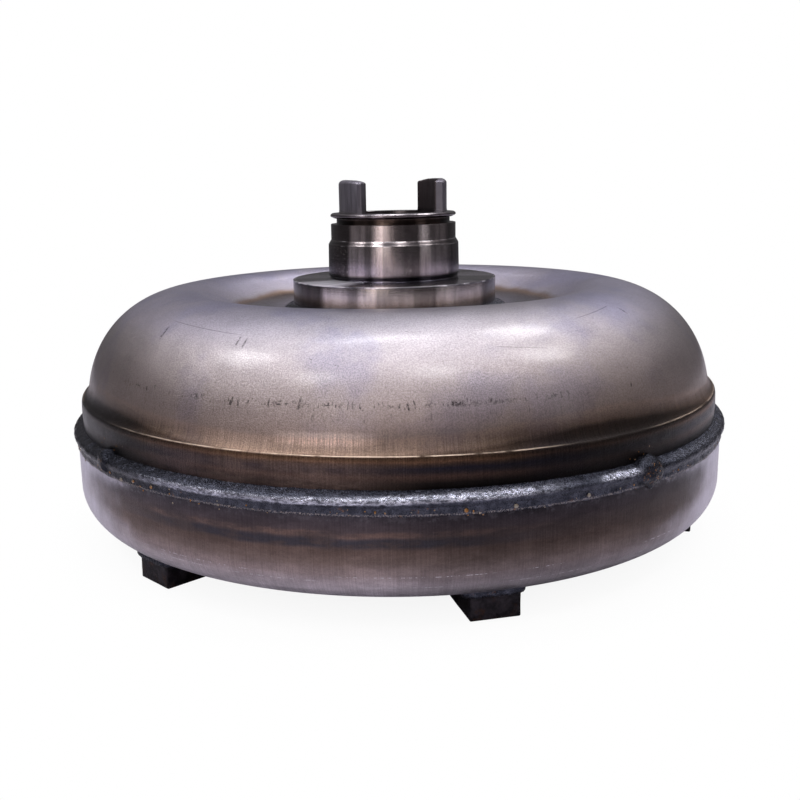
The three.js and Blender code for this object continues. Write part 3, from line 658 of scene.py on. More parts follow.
def weld_material():
    """Blue-black scale with a painted highlight along the bead's shoulder, strongest where it faces the
    camera, and fine ripples.
    """
    s = Shader("oxidised_weld_metal")
    lumps = s.noise(0.35, 4, 0.6)
    fine = s.noise(1.9, 4, 0.8)
    ripple = s.streaks(170, 0.35)
    s.color = s.mix(lumps.span(0.36, 0.66), (56, 58, 68), (84, 86, 98))
    s.paint(fine.span(0.46, 0.36), (30, 31, 38))
    # Painted highlight along the bead's shoulder, strongest where the bead faces the camera, with a
    # painted glint left of the lump on the right.
    facing = ((s.front + 6) * 2).cosine()
    lobes = lump_lobes(s).span(0.92, 0.55) * facing.span(0, 0.75, 0.12, 1)
    shoulder_z = s.z + (lumps - 0.5) * 1.2
    shoulder_z += s.front.span(-22, 14, 0.9, -0.7)
    glitter = s.streaks(75, 1.5, 4, 0.75)
    shoulder = shoulder_z.band(52.5, 0.8, 1) * lobes
    shoulder *= s.streaks(24, 0.1).span(0.36, 0.62, 0.45, 1)
    shoulder *= s.radius.span(150, 151.5)
    glint = s.front.band(33, 1.8, 3) * shoulder_z.band(52.6, 0.5, 0.9)
    shoulder = s.math("MAXIMUM", shoulder, glint)
    s.paint(shoulder * glitter.span(0.4, 0.58, 0.12, 1), (220, 222, 238))
    s.shade((s.front.band(-60, 16, 14), 1, 0.5))
    toe = s.z.band(46.9, 0.25, 0.3) * fine.span(0.48, 0.58)
    s.paint(toe * 0.7, (170, 160, 156))
    rust = s.noise(0.3, 5, 0.75).span(0.6, 0.68) * s.z.span(50.5, 48.8)
    s.paint(rust * 0.7, (134, 92, 56))
    beside = ((s.angle - LUMP_ANGLES[1]) * 4).cosine().span(0.975, 0.99)
    s.paint(beside * 0.7, (38, 39, 45))
    burnt = s.radius.span(155.6, 156.2) * s.noise(0.8, 4, 0.8).span(0.58, 0.64)
    s.paint(burnt * 0.85, (206, 142, 72))
    rough = fine.span(0.3, 0.75, 0.18, 0.38)
    height = fine + ripple * 0.6
    return s.finish(rough, height, 0.5, 0.0006)


def spatter_material():
    s = Shader("weld_spatter")
    tone = s.noise(0.3, 2)
    s.color = s.mix(tone.span(0.4, 0.6), (158, 112, 66), (160, 152, 142))
    return s.finish(s.noise(2).span(0.3, 0.7, 0.25, 0.5))


def turned_steel(name, base, dark, low_rough=0.2, high_rough=0.36, lines=5):
    """Turned steel: fine rings from the tool, patches of handling and a little dirt."""
    s = Shader(name)
    rings = s.streaks(1.4, lines)
    patch = s.noise(0.1, 5, 0.65)
    upright = s.streaks(26, 0.05, 4)
    s.color = s.mix(patch.span(0.38, 0.66), base, dark)
    s.shade((upright, 0.86, 1.14), (rings, 0.92, 1.08))
    pits = s.noise(1.1, 4, 0.8).span(0.72, 0.78)
    s.paint(pits * 0.6, (52, 46, 44))
    rough = s.noise(0.25, 5, 0.7).span_plain(low_rough, high_rough)
    height = rings * 0.8 + s.noise(0.9, 3) * 0.4
    return s.finish(rough, height, 0.12, 0.0003)


# Painted reflection strips down the hub: degrees from the front, half width, softness, strength.
HUB_REFLECTION_STRIPS = (
    (-14, 3, 5, 1.2), (-33, 6, 5, 0.8), (-22, 6, 5, 0.34), (0, 7, 7, 0.62),
    (14, 5, 5, 0.26), (28, 4, 4, 0.62), (43, 8, 8, 0.42), (100, 7, 12, 0.5),
    (148, 10, 14, 0.75), (-150, 8, 14, 0.6), (-100, 7, 12, 0.4),
)


def hub_material():
    """The pump hub: ground journal with painted shade and painted reflection strips down its sides,
    painted highlights on its corners and flange top, a darker groove and browner flange.
    """
    s = Shader("pump_hub_steel")
    rings = s.streaks(1.2, 5.5)
    patch = s.noise(0.16, 5, 0.65)
    upright = s.streaks(13, 0.04, 4)
    # Colours by height; the dark stop on the chamfer at 133.4 is painted shade.
    s.color = s.z.ramp((
        (102, (168, 158, 152)), (114.8, (184, 174, 170)), (115.7, (172, 166, 176)),
        (116.3, (160, 156, 168)), (116.8, (60, 56, 62)), (118, (52, 48, 52)), (119.2, (190, 178, 178)),
        (131.8, (200, 190, 190)), (133.4, (92, 86, 88)), (135, (198, 186, 186)),
        (141.6, (184, 172, 172)), (142, (84, 72, 66)), (144.2, (76, 65, 60)), (144.6, (120, 112, 112)),
        (146.8, (138, 132, 136)), (148, (140, 136, 144)), (163, (132, 128, 138)),
    ))
    # Down the journal, the flange rim and the collar the colour is dimmed as painted shade, except along
    # the painted reflection strips.
    side = s.any_of([
        s.z.band(129.6, 13.8, 1),
        s.z.span(115.8, 115.4) * s.radius.span(47.8, 48.4),
        s.z.band(145.5, 1.4, 0.5) * 0.6,
    ])
    reflection_strips = s.any_of([
        s.front.band(place, half, soft) * amount for place, half, soft, amount in HUB_REFLECTION_STRIPS
    ])
    s.dim(side.span_plain(1, 0) + side * (reflection_strips + 0.2))
    # Painted highlight on the flange's top, left of the front.
    flange_top_highlight = s.z.band(115.9, 0.2, 0.2) * s.front.band(-50, 10, 18)
    s.paint(flange_top_highlight * 0.5, (235, 232, 240))
    s.shade(
        (upright.span(0.3, 0.7), 0.78, 1.22), (patch, 0.82, 1.18), (rings, 0.94, 1.06),
    )
    land = s.z.band(125, 5.5, 2) * s.noise(0.55, 5, 0.78).span(0.56, 0.64)
    s.paint(land * 0.35, (216, 204, 200))
    # Painted highlights along the chamfer's edges and the flange's top corner, broken up by noise.
    corners = s.any_of([
        s.z.band(134.5, 0.1, 0.2) * 0.5,
        s.z.band(132.3, 0.08, 0.16) * 0.6,
        s.z.band(115.8, 0.25, 0.3) * s.radius.span(47.6, 48.3),
    ])
    corner_highlight = corners * s.noise(0.2, 4).span(0.42, 0.58)
    s.paint(corner_highlight * 0.85, (236, 232, 236))
    # Painted shade on the tangs' inner faces above the collar.
    inner = s.radius.span(22.4, 21.9) * s.z.span(COLLAR_TOP_Z - 1, COLLAR_TOP_Z + 1)
    s.paint(inner * 0.75, (60, 48, 42))
    rough = s.noise(0.3, 5, 0.7).span_plain(0.15, 0.3)
    tang = s.z.span(COLLAR_TOP_Z + 0.2, COLLAR_TOP_Z + 1.5, 0, 0.2)
    rough += s.math("MAXIMUM", tang, flange_top_highlight * 0.35)
    height = rings * 0.6 + s.noise(0.8, 3) * 0.5
    height += upright * 0.8
    return s.finish(rough, height, 0.14, 0.0003)


def lug_material():
    s = Shader("forged_lug_steel")
    scale = s.noise(0.22, 5, 0.65)
    fine = s.noise(1.6, 5, 0.75)
    s.color = s.mix(scale.span(0.36, 0.66), (34, 32, 35), (62, 58, 62))
    rust = s.noise(0.16, 5, 0.7).span(0.52, 0.68)
    s.paint(rust * 0.45, (84, 58, 42))
    s.shade((fine, 0.8, 1.25))
    rough = fine.span_plain(0.38, 0.7)
    height = fine * 0.5 + scale * 1.4
    return s.finish(rough, height, 0.35, 0.0007)


# ---------------- materials of the inside


def rolled_steel(name, base, dark, rough=(0.32, 0.5)):
    s = Shader(name)
    patch = s.noise(0.07, 4, 0.6)
    grain = s.noise(1.2, 5, 0.7)
    s.color = s.mix(patch.span(0.36, 0.66), base, dark)
    s.shade((grain, 0.9, 1.1))
    return s.finish(s.noise(0.3, 5).span_plain(*rough), grain, 0.15, 0.0004)


def aluminium_material():
    s = Shader("cast_aluminium", metallic=0.95)
    grain = s.noise(1.6, 5, 0.75)
    patch = s.noise(0.08, 3).span(0.35, 0.65)
    s.color = s.mix(patch, (186, 187, 190), (164, 165, 170))
    s.shade((grain, 0.92, 1.06))
    return s.finish(grain.span_plain(0.42, 0.62), grain, 0.3, 0.0005)


def bronze_material():
    s = Shader("bearing_bronze")
    rings = s.streaks(1.5, 4)
    patch = s.noise(0.12, 4)
    s.color = s.mix(patch.span(0.35, 0.65), (176, 132, 78), (140, 98, 58))
    s.shade((rings, 0.92, 1.08))
    return s.finish(patch.span_plain(0.28, 0.45), rings, 0.12, 0.0003)


def lining_material():
    s = Shader("friction_paper", metallic=0)
    fibre = s.noise(1.8, 6, 0.8, distortion=1.2)
    s.color = s.mix(fibre.span(0.35, 0.7), (52, 36, 26), (92, 68, 48))
    s.shade((s.noise(0.08, 3), 0.85, 1.15))
    return s.finish(fibre.span_plain(0.82, 0.98), fibre, 0.4, 0.0005)


def rubber_material():
    s = Shader("seal_rubber", metallic=0)
    bloom = s.noise(0.5, 4)
    s.color = s.mix(bloom.span(0.35, 0.7), (20, 21, 23), (38, 38, 40))
    return s.finish(bloom.span_plain(0.5, 0.75), bloom, 0.1, 0.0003)


SHELL = shell_material()
COVER = cover_material()
WELD = weld_material()
SPATTER = spatter_material()
HUB = hub_material()
LUG = lug_material()
TURNED = turned_steel("turned_steel", (164, 158, 156), (128, 122, 122))
HARD = turned_steel("hardened_steel", (186, 186, 190), (150, 150, 154), 0.14, 0.28, 7)
STAMPED = rolled_steel("stamped_steel", (150, 144, 140), (118, 110, 106))
SPRING = rolled_steel("spring_steel", (92, 88, 86), (66, 62, 60), (0.26, 0.42))

BY_SLOT = {
    "shell_steel": SHELL,
    "cover_steel": COVER,
    "weld_metal": WELD,
    "lug_steel": LUG,
    "machined_steel": TURNED,
    "stamped_steel": STAMPED,
    "hard_steel": HARD,
    "spring_steel": SPRING,
    "cast_aluminium": aluminium_material(),
    "bronze": bronze_material(),
    "friction_paper": lining_material(),
    "seal_rubber": rubber_material(),
}

for subpart in frame["record"]["subparts"]:
    node = frame["nodes"][subpart["node"]]
    node.data.materials.clear()
    node.data.materials.append(BY_SLOT[subpart["material_slot"]])

# ---------------- mesh helpers


def arc(centre_r, centre_z, radius, start, end, steps):
    """Points of an outline along an arc, by degrees from outward towards up."""
    points = []
    for i in range(steps + 1):
        angle = radians(start + (end - start) * i / steps)
        points.append((centre_r + radius * cos(angle), centre_z + radius * sin(angle)))
    return points


def eased(outline, reach, steps=3):
    """The closed outline with each corner rounded over the given reach."""
    points = []
    count = len(outline)
    for i, corner in enumerate(outline):
        before = Vector(outline[i - 1])
        corner = Vector(corner)
        after = Vector(outline[(i + 1) % count])
        inward, outward = before - corner, after - corner
        cut = min(reach, 0.45 * inward.length, 0.45 * outward.length)
        start = corner + inward.normalized() * cut
        end = corner + outward.normalized() * cut
        for k in range(steps + 1):
            t = k / steps
            points.append(tuple((1 - t) ** 2 * start + 2 * t * (1 - t) * corner + t * t * end))
    return points


def signed_area(points):
    return sum(a[0] * b[1] - b[0] * a[1] for a, b in zip(points, points[1:] + points[:1])) / 2


def add_piece(name, vertices, faces, material, slot, smooth_angle=32, body="housing"):
    mesh = mesh_in_metres(name, vertices, faces)
    mesh.validate()
    mesh.shade_smooth()
    mesh.set_sharp_from_angle(angle=radians(smooth_angle))
    mesh.materials.append(material)
    piece = add_object(name, mesh)
    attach(piece, body)
    return piece


def ring_quads(start, bands, sides):
    """Faces between rings of vertices that follow one another from start."""
    faces = []
    for a in range(start, start + bands * sides, sides):
        b = a + sides
        faces += [(a + k, b + k, b + (k + 1) % sides, a + (k + 1) % sides) for k in range(sides)]
    return faces


def turned_mesh(outline, segments, push=None):
    """Vertices and faces of a closed outline swept round the axis; push moves each point."""
    ordered = list(outline) if signed_area(outline) > 0 else list(outline)[::-1]
    count = len(ordered)
    vertices = []
    for i in range(segments):
        angle = TURN * i / segments
        for r, z in ordered:
            if push:
                r, z = push(angle, r, z)
            vertices.append((r * cos(angle), r * sin(angle), z))
    faces = ring_quads(0, segments, count)
    return vertices, [tuple(corner % len(vertices) for corner in face) for face in faces]


def turned(name, outline, material, slot, segments, push=None, smooth_angle=32):
    return add_piece(name, *turned_mesh(outline, segments, push), material, slot, smooth_angle)


def smooth_noise(angle, z, around, along, seed):
    """Repeatable noise, from -1 to 1, that closes on itself round the axis."""
    return noise.noise(Vector((cos(angle) * around, sin(angle) * around, z * along + seed)))


# ---------------- housing pieces

SKIN_SEGMENTS = 480
BEAD_SEGMENTS = 1600


def crest_moved(r, z):
    """The dome is a little flatter than a round tube, its crest further out."""
    up = max((z - TORUS_Z) / TORUS_TUBE, 0)
    return r + CREST_SHIFT * up * up, z - CREST_DROP * up * up


def impeller_shell():
    inner_tube = TORUS_TUBE - SHELL_WALL
    convex_z = SHELL_HIGH.z - CREST_ARC
    fillet_z = RECESS_Z + RECESS_FILLET
    skirt_inner = SKIRT_RADIUS - SHELL_WALL + 0.4
    outline = [
        (SKIRT_RADIUS, SHELL_LOW.z), (SKIRT_RADIUS, 56), (SKIRT_RADIUS + 0.25, 61),
        (SKIRT_RADIUS + 0.1, 65.4), (SKIRT_RADIUS - 0.15, 66.6),
        (150.3, RIDGE_Z - 0.15), (150, RIDGE_Z + 0.1), (149.55, RIDGE_Z + 0.25),
        (148.9, 68.3), (148.2, 69.4), (147.55, 70.9), (147.1, 72.2),
        *arc(TORUS_RADIUS, TORUS_Z, TORUS_TUBE, 11, 90, 40),
        *arc(TORUS_RADIUS, convex_z, CREST_ARC, 92, 127, 14),
        *arc(RECESS_FILLET_RADIUS, fillet_z, RECESS_FILLET, -48, -90, 10),
        (60, RECESS_Z), (RECESS_BORE, RECESS_Z), (RECESS_BORE, RECESS_Z - SHELL_WALL),
        *arc(RECESS_FILLET_RADIUS, fillet_z, RECESS_FILLET + SHELL_WALL, -90, -48, 6),
        *arc(TORUS_RADIUS, convex_z, CREST_ARC - SHELL_WALL, 124, 92, 8),
        *arc(TORUS_RADIUS, TORUS_Z, inner_tube, 88, 3, 24),
        (skirt_inner, 62), (skirt_inner, SHELL_LOW.z),
    ]

    def push(angle, r, z):
        """The pressed sheet is a little uneven, and the ridge is hammered here and there."""
        r += 0.1 * smooth_noise(angle, z, 2.2, 0.02, 3)
        if abs(z - RIDGE_Z) < 0.6:
            r += 0.12 * smooth_noise(angle, z, 40, 0, 9)
            z += 0.1 * smooth_noise(angle, z, 14, 0, 5)
        return r, z

    outline = [crest_moved(r, z) for r, z in outline]
    piece = turned("shell_skin", outline, SHELL, "shell_steel", SKIN_SEGMENTS, push, 40)
    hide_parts("impeller_shell", "shell_recess_wall", "shell_recess_floor")


def front_cover():
    corner_r = COVER_RADIUS - COVER_CORNER
    corner_z = COVER_FACE_Z + COVER_CORNER
    dish_z = COVER_FACE_Z + COVER_DISH
    outline = [
        (PILOT_SEAT_RADIUS, dish_z), (78, dish_z),
        *arc(80, dish_z - 6, 6, 88, 62, 4),
        *arc(91, COVER_FACE_Z + 7, 7, -118, -90, 4),
        (120, COVER_FACE_Z),
        *arc(corner_r, corner_z, COVER_CORNER, -90, 0, 36),
        (COVER_RADIUS, 36), (COVER_RADIUS, 44), (COVER_RADIUS, COVER_RIM_Z),
        (151.1, COVER_RIM_Z), (151.1, 43), (COVER_RADIUS - COVER_WALL, 43),
        *arc(corner_r, corner_z, COVER_CORNER - COVER_WALL, 0, -90, 14),
        (92, COVER_FACE_Z + COVER_WALL),
        (80, dish_z + COVER_WALL), (PILOT_SEAT_RADIUS, dish_z + COVER_WALL),
    ]

    def push(angle, r, z):
        return r + 0.08 * smooth_noise(angle, z, 2.6, 0.03, 7), z

    piece = turned("cover_skin", outline, COVER, "cover_steel", SKIN_SEGMENTS, push)
    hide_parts("front_cover")


# Each lump where a weld run started: degrees round, then half length round, half height, stand-out
# and the height of its middle, in mm.
LUMPS = (
    (LUMP_ANGLES[0], 8.6, 6.6, 5.6, 51.5),
    (LUMP_ANGLES[1], 6, 5, 3.2, 51.6),
    (LUMP_ANGLES[2], 6.5, 5.5, 3.4, 51.8),
    (LUMP_ANGLES[3], 6, 5.2, 4.6, 52),
)
LUMP_SEAT = 152


def shell_weld():
    middle_z = 51
    outline = [
        (153.2, 46.6), (153.85, 46.3), (154.15, 46.6), (154.25, 47.4), (154.2, 48.3), (154.2, 49.1),
        (154.35, 49.7), (154.8, 50.2), (155.2, 50.9), (155.4, 51.6), (155.35, 52.3), (155, 53),
        (154.4, 53.6), (153.6, 54.1), (152.7, 54.5), (151.9, 54.8), (151.2, 55.2), (150.2, 55.4),
        (150.2, 51.3), (153.2, 51.3),
    ]

    def push(angle, r, z):
        if r < 150.5 or (r < 153.5 and z < 52):
            return r, z
        ripple = sin(angle * 760 + 2 * sin((z - middle_z) * 0.7)) * 0.08
        coarse = 0.18 * smooth_noise(angle, z, 34, 0.6, 1)
        fine = 0.16 * smooth_noise(angle, z, 110, 1.2, 4)
        if z < 50 or z > 54:
            z += 0.35 * smooth_noise(angle, 0, 26, 0, 11) + 0.3 * smooth_noise(angle, 0, 90, 0, 21)
        return r + ripple + (coarse + fine), z

    piece = turned("shell_weld_bead", outline, WELD, "weld_metal", BEAD_SEGMENTS, push, 60)
    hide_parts("shell_weld")
    lumps = merged([lump(*values) for values in LUMPS])
    add_piece("shell_weld_lumps", *lumps, WELD, "weld_metal", 60)


def lump(degrees, half_round, half_height, stand_out, height):
    """A rough, slightly pointed blob of weld metal set on the bead."""
    vertices, faces = ball((0, 0, 0), 1, 1, (1, 0, 0), 22, 36)
    turn = radians(degrees)
    outward = Vector((cos(turn), sin(turn), 0))
    sideways = Vector((-sin(turn), cos(turn), 0))
    shaped = []
    for x, y, z in vertices:
        wide = 1 - 0.25 * abs(z)
        rough = 1
        for share, scale in ((0.16, 1.6), (0.06, 5)):
            rough += share * noise.noise(Vector((x * scale, y * scale, z * scale + degrees)))
        point = outward * (LUMP_SEAT + x * stand_out * rough) + sideways * (y * half_round * wide * rough)
        point.z = height + z * half_height * rough
        shaped.append(tuple(point))
    return shaped, faces


def ball(centre, radius, squash, normal, rings=4, sides=8):
    """A flattened drop of metal on a surface, as vertices and faces."""
    normal = Vector(normal).normalized()
    side = normal.orthogonal().normalized()
    up = normal.cross(side)
    vertices = [tuple(Vector(centre) + normal * radius * squash)]
    for i in range(1, rings):
        polar = math.pi * i / rings
        for k in range(sides):
            turn = TURN * k / sides
            flat = side * cos(turn) + up * sin(turn)
            point = Vector(centre) + flat * radius * sin(polar)
            vertices.append(tuple(point + normal * radius * squash * cos(polar)))
    vertices.append(tuple(Vector(centre) - normal * radius * squash))
    faces = [(0, 1 + k, 1 + (k + 1) % sides) for k in range(sides)]
    faces += ring_quads(1, rings - 2, sides)
    last, start = len(vertices) - 1, 1 + (rings - 2) * sides
    faces += [(start + k, last, start + (k + 1) % sides) for k in range(sides)]
    return vertices, faces


def merged(parts):
    vertices, faces = [], []
    for part_vertices, part_faces in parts:
        base = len(vertices)
        vertices += part_vertices
        faces += [tuple(base + i for i in face) for face in part_faces]
    return vertices, faces


# Spatter: drops scattered below the bead, large drops on its foot, and drops above each lump.
SCATTERED_DROPS = 190
LARGE_DROPS = 14
DROPS_BY_LUMP = 6


def weld_spatter():
    draw = random.Random(11)
    parts = []
    for _ in range(SCATTERED_DROPS):
        angle = draw.uniform(0, TURN)
        z = draw.gauss(47.6, 1.3)
        seat = BEAD_FOOT_RADIUS if z > BEAD_FOOT_Z else COVER_RADIUS
        parts.append(spatter_drop(draw, angle, seat, z, 0.16, 0.5))
    for _ in range(LARGE_DROPS):
        parts.append(spatter_drop(draw, draw.uniform(0, TURN), 154.2, draw.gauss(48, 0.4), 0.7, 1))
    for degrees, _, half_height, _, middle in LUMPS:
        for _ in range(DROPS_BY_LUMP):
            angle = radians(degrees + draw.gauss(-1, 2.6))
            z = middle + half_height * draw.uniform(0.7, 1.6)
            parts.append(spatter_drop(draw, angle, SKIRT_RADIUS + 0.1, z, 0.16, 0.45))
    add_piece("weld_spatter", *merged(parts), SPATTER, "weld_metal", 80)


def spatter_drop(draw, angle, r, z, small, large):
    outward = (cos(angle), sin(angle), 0)
    size = draw.uniform(small, large)
    return ball((outward[0] * r, outward[1] * r, z), size, 0.55, outward)


def pump_hub():
    spigot = 41.7
    flange = HUB_FLANGE_RADIUS + 0.3
    outline = eased([
        (HUB_BORE, HUB_LOW.z), (spigot, HUB_LOW.z), (spigot, RECESS_Z), (flange, RECESS_Z),
        (flange, 115.9), (33.4, 115.9), (31, 116.2), (31, 117.2), (31.6, 117.6), (31.35, 132.4),
        (30, 134.6), (30, 141.85), (27.2, 141.85), (27.2, 144.5), (28.4, 144.6), (29.9, 145.3),
        (30.15, 145.8), (30.05, 146.3), (29.3, COLLAR_TOP_Z), (HUB_BORE, COLLAR_TOP_Z),
    ], 0.22)
    piece = turned("pump_hub_body", outline, HUB, "machined_steel", 288, None, 28)
    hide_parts("pump_hub")
    tangs = merged([tang(TANG_ANGLE), tang(TANG_ANGLE + 180)])
    add_piece("pump_hub_tangs", *tangs, HUB, "machined_steel", 30)


def tang(centre):
    """A curved dog that stands on the collar, its top crowned and its corners eased."""
    top = HUB_HIGH.z
    steps = 28
    levels = [
        (COLLAR_TOP_Z - 1.2, 0, 0.9), (COLLAR_TOP_Z - 0.3, 0, 0.45), (COLLAR_TOP_Z + 0.6, 0, 0.12),
        (COLLAR_TOP_Z + 1.6, 0, 0), (top - 1.8, 0, 0), (top - 1, 0.2, -0.15),
        (top - 0.35, 0.65, -0.5), (top, 1.3, -1),
    ]
    ring = len(tang_ring(centre, 0, 0, steps))
    vertices = []
    for z, inset, flare in levels:
        crown = z > top - 2
        for x, y, end in tang_ring(centre, inset, flare, steps):
            drop = 0.9 * end ** 3 if crown else 0
            rough = 0.25 * noise.noise(Vector((x * 0.5, y * 0.5, centre)))
            vertices.append((x, y, z - (drop - rough) * (z - top + 2) / 2 if crown else z))
    faces = []
    for level in range(len(levels) - 1):
        a, b = level * ring, (level + 1) * ring
        faces += [(a + k, a + (k + 1) % ring, b + (k + 1) % ring, b + k) for k in range(ring)]
    last = (len(levels) - 1) * ring
    half = ring // 2
    for base, order in ((0, -1), (last, 1)):
        for k in range(half - 1):
            faces.append((base + k, base + k + 1, base + ring - 2 - k, base + ring - 1 - k)[::order])
    return vertices, faces


def tang_ring(centre, inset, flare, steps):
    """One level of a tang: the outer edge one way and the inner edge back, each point with its
    nearness to an end of the tang, from 0 to 1."""
    outer = TANG_OUTER - inset + flare * 0.9
    inner = HUB_BORE + inset * 0.4
    points = []
    for radius, forward in ((outer, True), (inner, False)):
        half = TANG_HALF_WIDTH - math.degrees(inset / radius) + math.degrees(max(flare, 0) / radius)
        for i in range(steps + 1):
            t = i / steps if forward else 1 - i / steps
            place = radians(centre + half * (2 * t - 1))
            end = abs(2 * t - 1)
            pulled = radius - 0.5 * end ** 24 if forward else radius
            points.append((pulled * cos(place), pulled * sin(place), end))
    return points


def hub_weld():
    outline = [
        (48.4, RECESS_Z - 0.4), (53.6, RECESS_Z - 0.4), (53.6, RECESS_Z + 0.1), (52.8, RECESS_Z + 0.6),
        (51.8, RECESS_Z + 1.2), (50.8, RECESS_Z + 1.8), (49.8, RECESS_Z + 2.2), (48.4, RECESS_Z + 2.3),
    ]

    def push(angle, r, z):
        if r < 48.7:
            return r, z
        ripple = 0.12 * sin(angle * 250)
        return r + ripple + 0.25 * smooth_noise(angle, z, 18, 0.6, 2), z

    piece = turned("hub_weld_bead", outline, WELD, "weld_metal", 720, push, 60)
    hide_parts("hub_weld")


def crank_pilot():
    low = PILOT_LOW.z
    dish = COVER_FACE_Z + COVER_DISH
    outline = eased([
        (3, low + 2), (10, low + 2), (12, low), (18.5, low), (20, low + 1.6),
        (20, dish - 3), (19.4, dish - 2.6), (19.4, dish - 2), (PILOT_SEAT_RADIUS, dish - 2),
        (PILOT_SEAT_RADIUS, dish + 5), (12, dish + 5), (12, PILOT_HIGH.z), (3, PILOT_HIGH.z),
    ], 0.4)
    piece = turned("crank_pilot_body", outline, TURNED, "machined_steel", 160)
    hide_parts("crank_pilot")


# ---------------- drive lugs


def rounded_block(low, high, reach, steps=3):
    """A block with rounded edges, as vertices and faces: grid points pulled onto the rounding."""
    cuts = []
    for axis in range(3):
        eases = [reach * (1 - cos(math.pi / 2 * i / steps)) for i in range(steps + 1)]
        near = [low[axis] + ease for ease in eases]
        far = [high[axis] - ease for ease in reversed(eases)]
        inner = [near[-1] + (far[0] - near[-1]) * i / 5 for i in range(1, 5)]
        cuts.append(near + inner + far)
    index, vertices, faces = {}, [], []

    def corner(i, j, k):
        key = (i, j, k)
        if key not in index:
            point = Vector((cuts[0][i], cuts[1][j], cuts[2][k]))
            core = Vector([min(max(point[a], low[a] + reach), high[a] - reach) for a in range(3)])
            offset = point - core
            if sum(abs(part) > 1e-9 for part in offset) > 1:
                point = core + offset.normalized() * reach
            index[key] = len(vertices)
            vertices.append(tuple(point))
        return index[key]

    sizes = [len(c) - 1 for c in cuts]
    for axis in range(3):
        u, v = (axis + 1) % 3, (axis + 2) % 3
        for order, edge in ((-1, 0), (1, sizes[axis])):
            for a, b in product(range(sizes[u]), range(sizes[v])):
                quad = []
                for da, db in ((0, 0), (1, 0), (1, 1), (0, 1)):
                    key = [0, 0, 0]
                    key[axis], key[u], key[v] = edge, a + da, b + db
                    quad.append(corner(*key))
                faces.append(tuple(quad[::order]))
    return vertices, faces


def to_lug(point, degrees):
    """From outward, sideways and up at a lug to the frame's axes."""
    out, side, up = point
    c, s = cos(radians(degrees)), sin(radians(degrees))
    return (out * c - side * s, out * s + side * c, up)


def tube(path, radius_at, sides=14):
    """A closed round-ended bead of metal along a path, as vertices and faces."""
    vertices = []
    for i, point in enumerate(path):
        ahead = (Vector(path[min(i + 1, len(path) - 1)]) - Vector(path[max(i - 1, 0)])).normalized()
        side = ahead.cross(Vector((0, 0, 1))).normalized()
        up = side.cross(ahead)
        for k in range(sides):
            turn = TURN * k / sides
            size = radius_at(i / (len(path) - 1), turn)
            vertices.append(tuple(Vector(point) + (side * cos(turn) + up * sin(turn)) * size))
    faces = ring_quads(0, len(path) - 1, sides)
    faces.append(tuple(range(sides)))
    faces.append(tuple(reversed(range((len(path) - 1) * sides, len(path) * sides))))
    return vertices, faces


def drive_lug(number, degrees):
    top = COVER_FACE_Z + 1
    half = LUG_WIDTH / 2
    vertices, faces = rounded_block((LUG_INNER, -half, 0), (LUG_OUTER, half, top), 0.7)
    draw = random.Random(40 + number)
    seed = draw.uniform(0, 50)
    shaped = []
    for out, side, up in vertices:
        rough = 0.12 * noise.noise(Vector((out * 0.3, side * 0.3, up * 0.3 + seed)))
        if up > top - 3 and out > LUG_OUTER - 4:
            up += 0.4
        shaped.append((out + rough, side + rough * (1 if side > 0 else -1), max(up, 0)))
    placed = [to_lug(point, degrees) for point in shaped]
    block = add_piece(f"lug_block_{number}", placed, faces, LUG, "lug_steel", 50)
    cut_hole(block, degrees)
    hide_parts(f"drive_lug_{number}")

    # The fillet weld runs in from one side, across the outer face and back along the other side.
    reach = LUG_INNER + 4
    corners = [
        (reach, -half - 0.3), (LUG_OUTER - 2.5, -half - 0.4), (LUG_OUTER + 0.1, -half + 2),
        (LUG_OUTER + 0.3, half - 2), (LUG_OUTER - 2.5, half + 0.4), (reach, half + 0.3),
    ]
    path = []
    for (out_a, side_a), (out_b, side_b) in zip(corners, corners[1:]):
        pieces = max(2, round(math.hypot(out_b - out_a, side_b - side_a) / 0.6))
        for i in range(pieces):
            t = i / pieces
            out, side = out_a + (out_b - out_a) * t, side_a + (side_b - side_a) * t
            path.append((out, side, lug_seam_z(out, side)))
    path.append((*corners[-1], lug_seam_z(*corners[-1])))
    path = [to_lug(point, degrees) for point in path]

    def radius_at(along, turn):
        ends = min(1, 12 * along, 12 * (1 - along)) ** 0.5
        ripple = 0.16 * sin(along * 210)
        lumpy = 0.3 * noise.noise(Vector((along * 30, sin(turn), seed)))
        return max(0.15, (2.1 + (ripple + lumpy)) * ends)

    add_piece(f"lug_weld_{number}", *tube(path, radius_at), WELD, "weld_metal", 70)


def lug_seam_z(out, side):
    """Height of the cover's face or corner where a lug's edge meets it."""
    r = math.hypot(out, side)
    corner_r = COVER_RADIUS - COVER_CORNER
    if r <= corner_r:
        return COVER_FACE_Z + 0.1
    drop = math.sqrt(max(COVER_CORNER ** 2 - (r - corner_r) ** 2, 0))
    return COVER_FACE_Z + COVER_CORNER - drop + 0.1


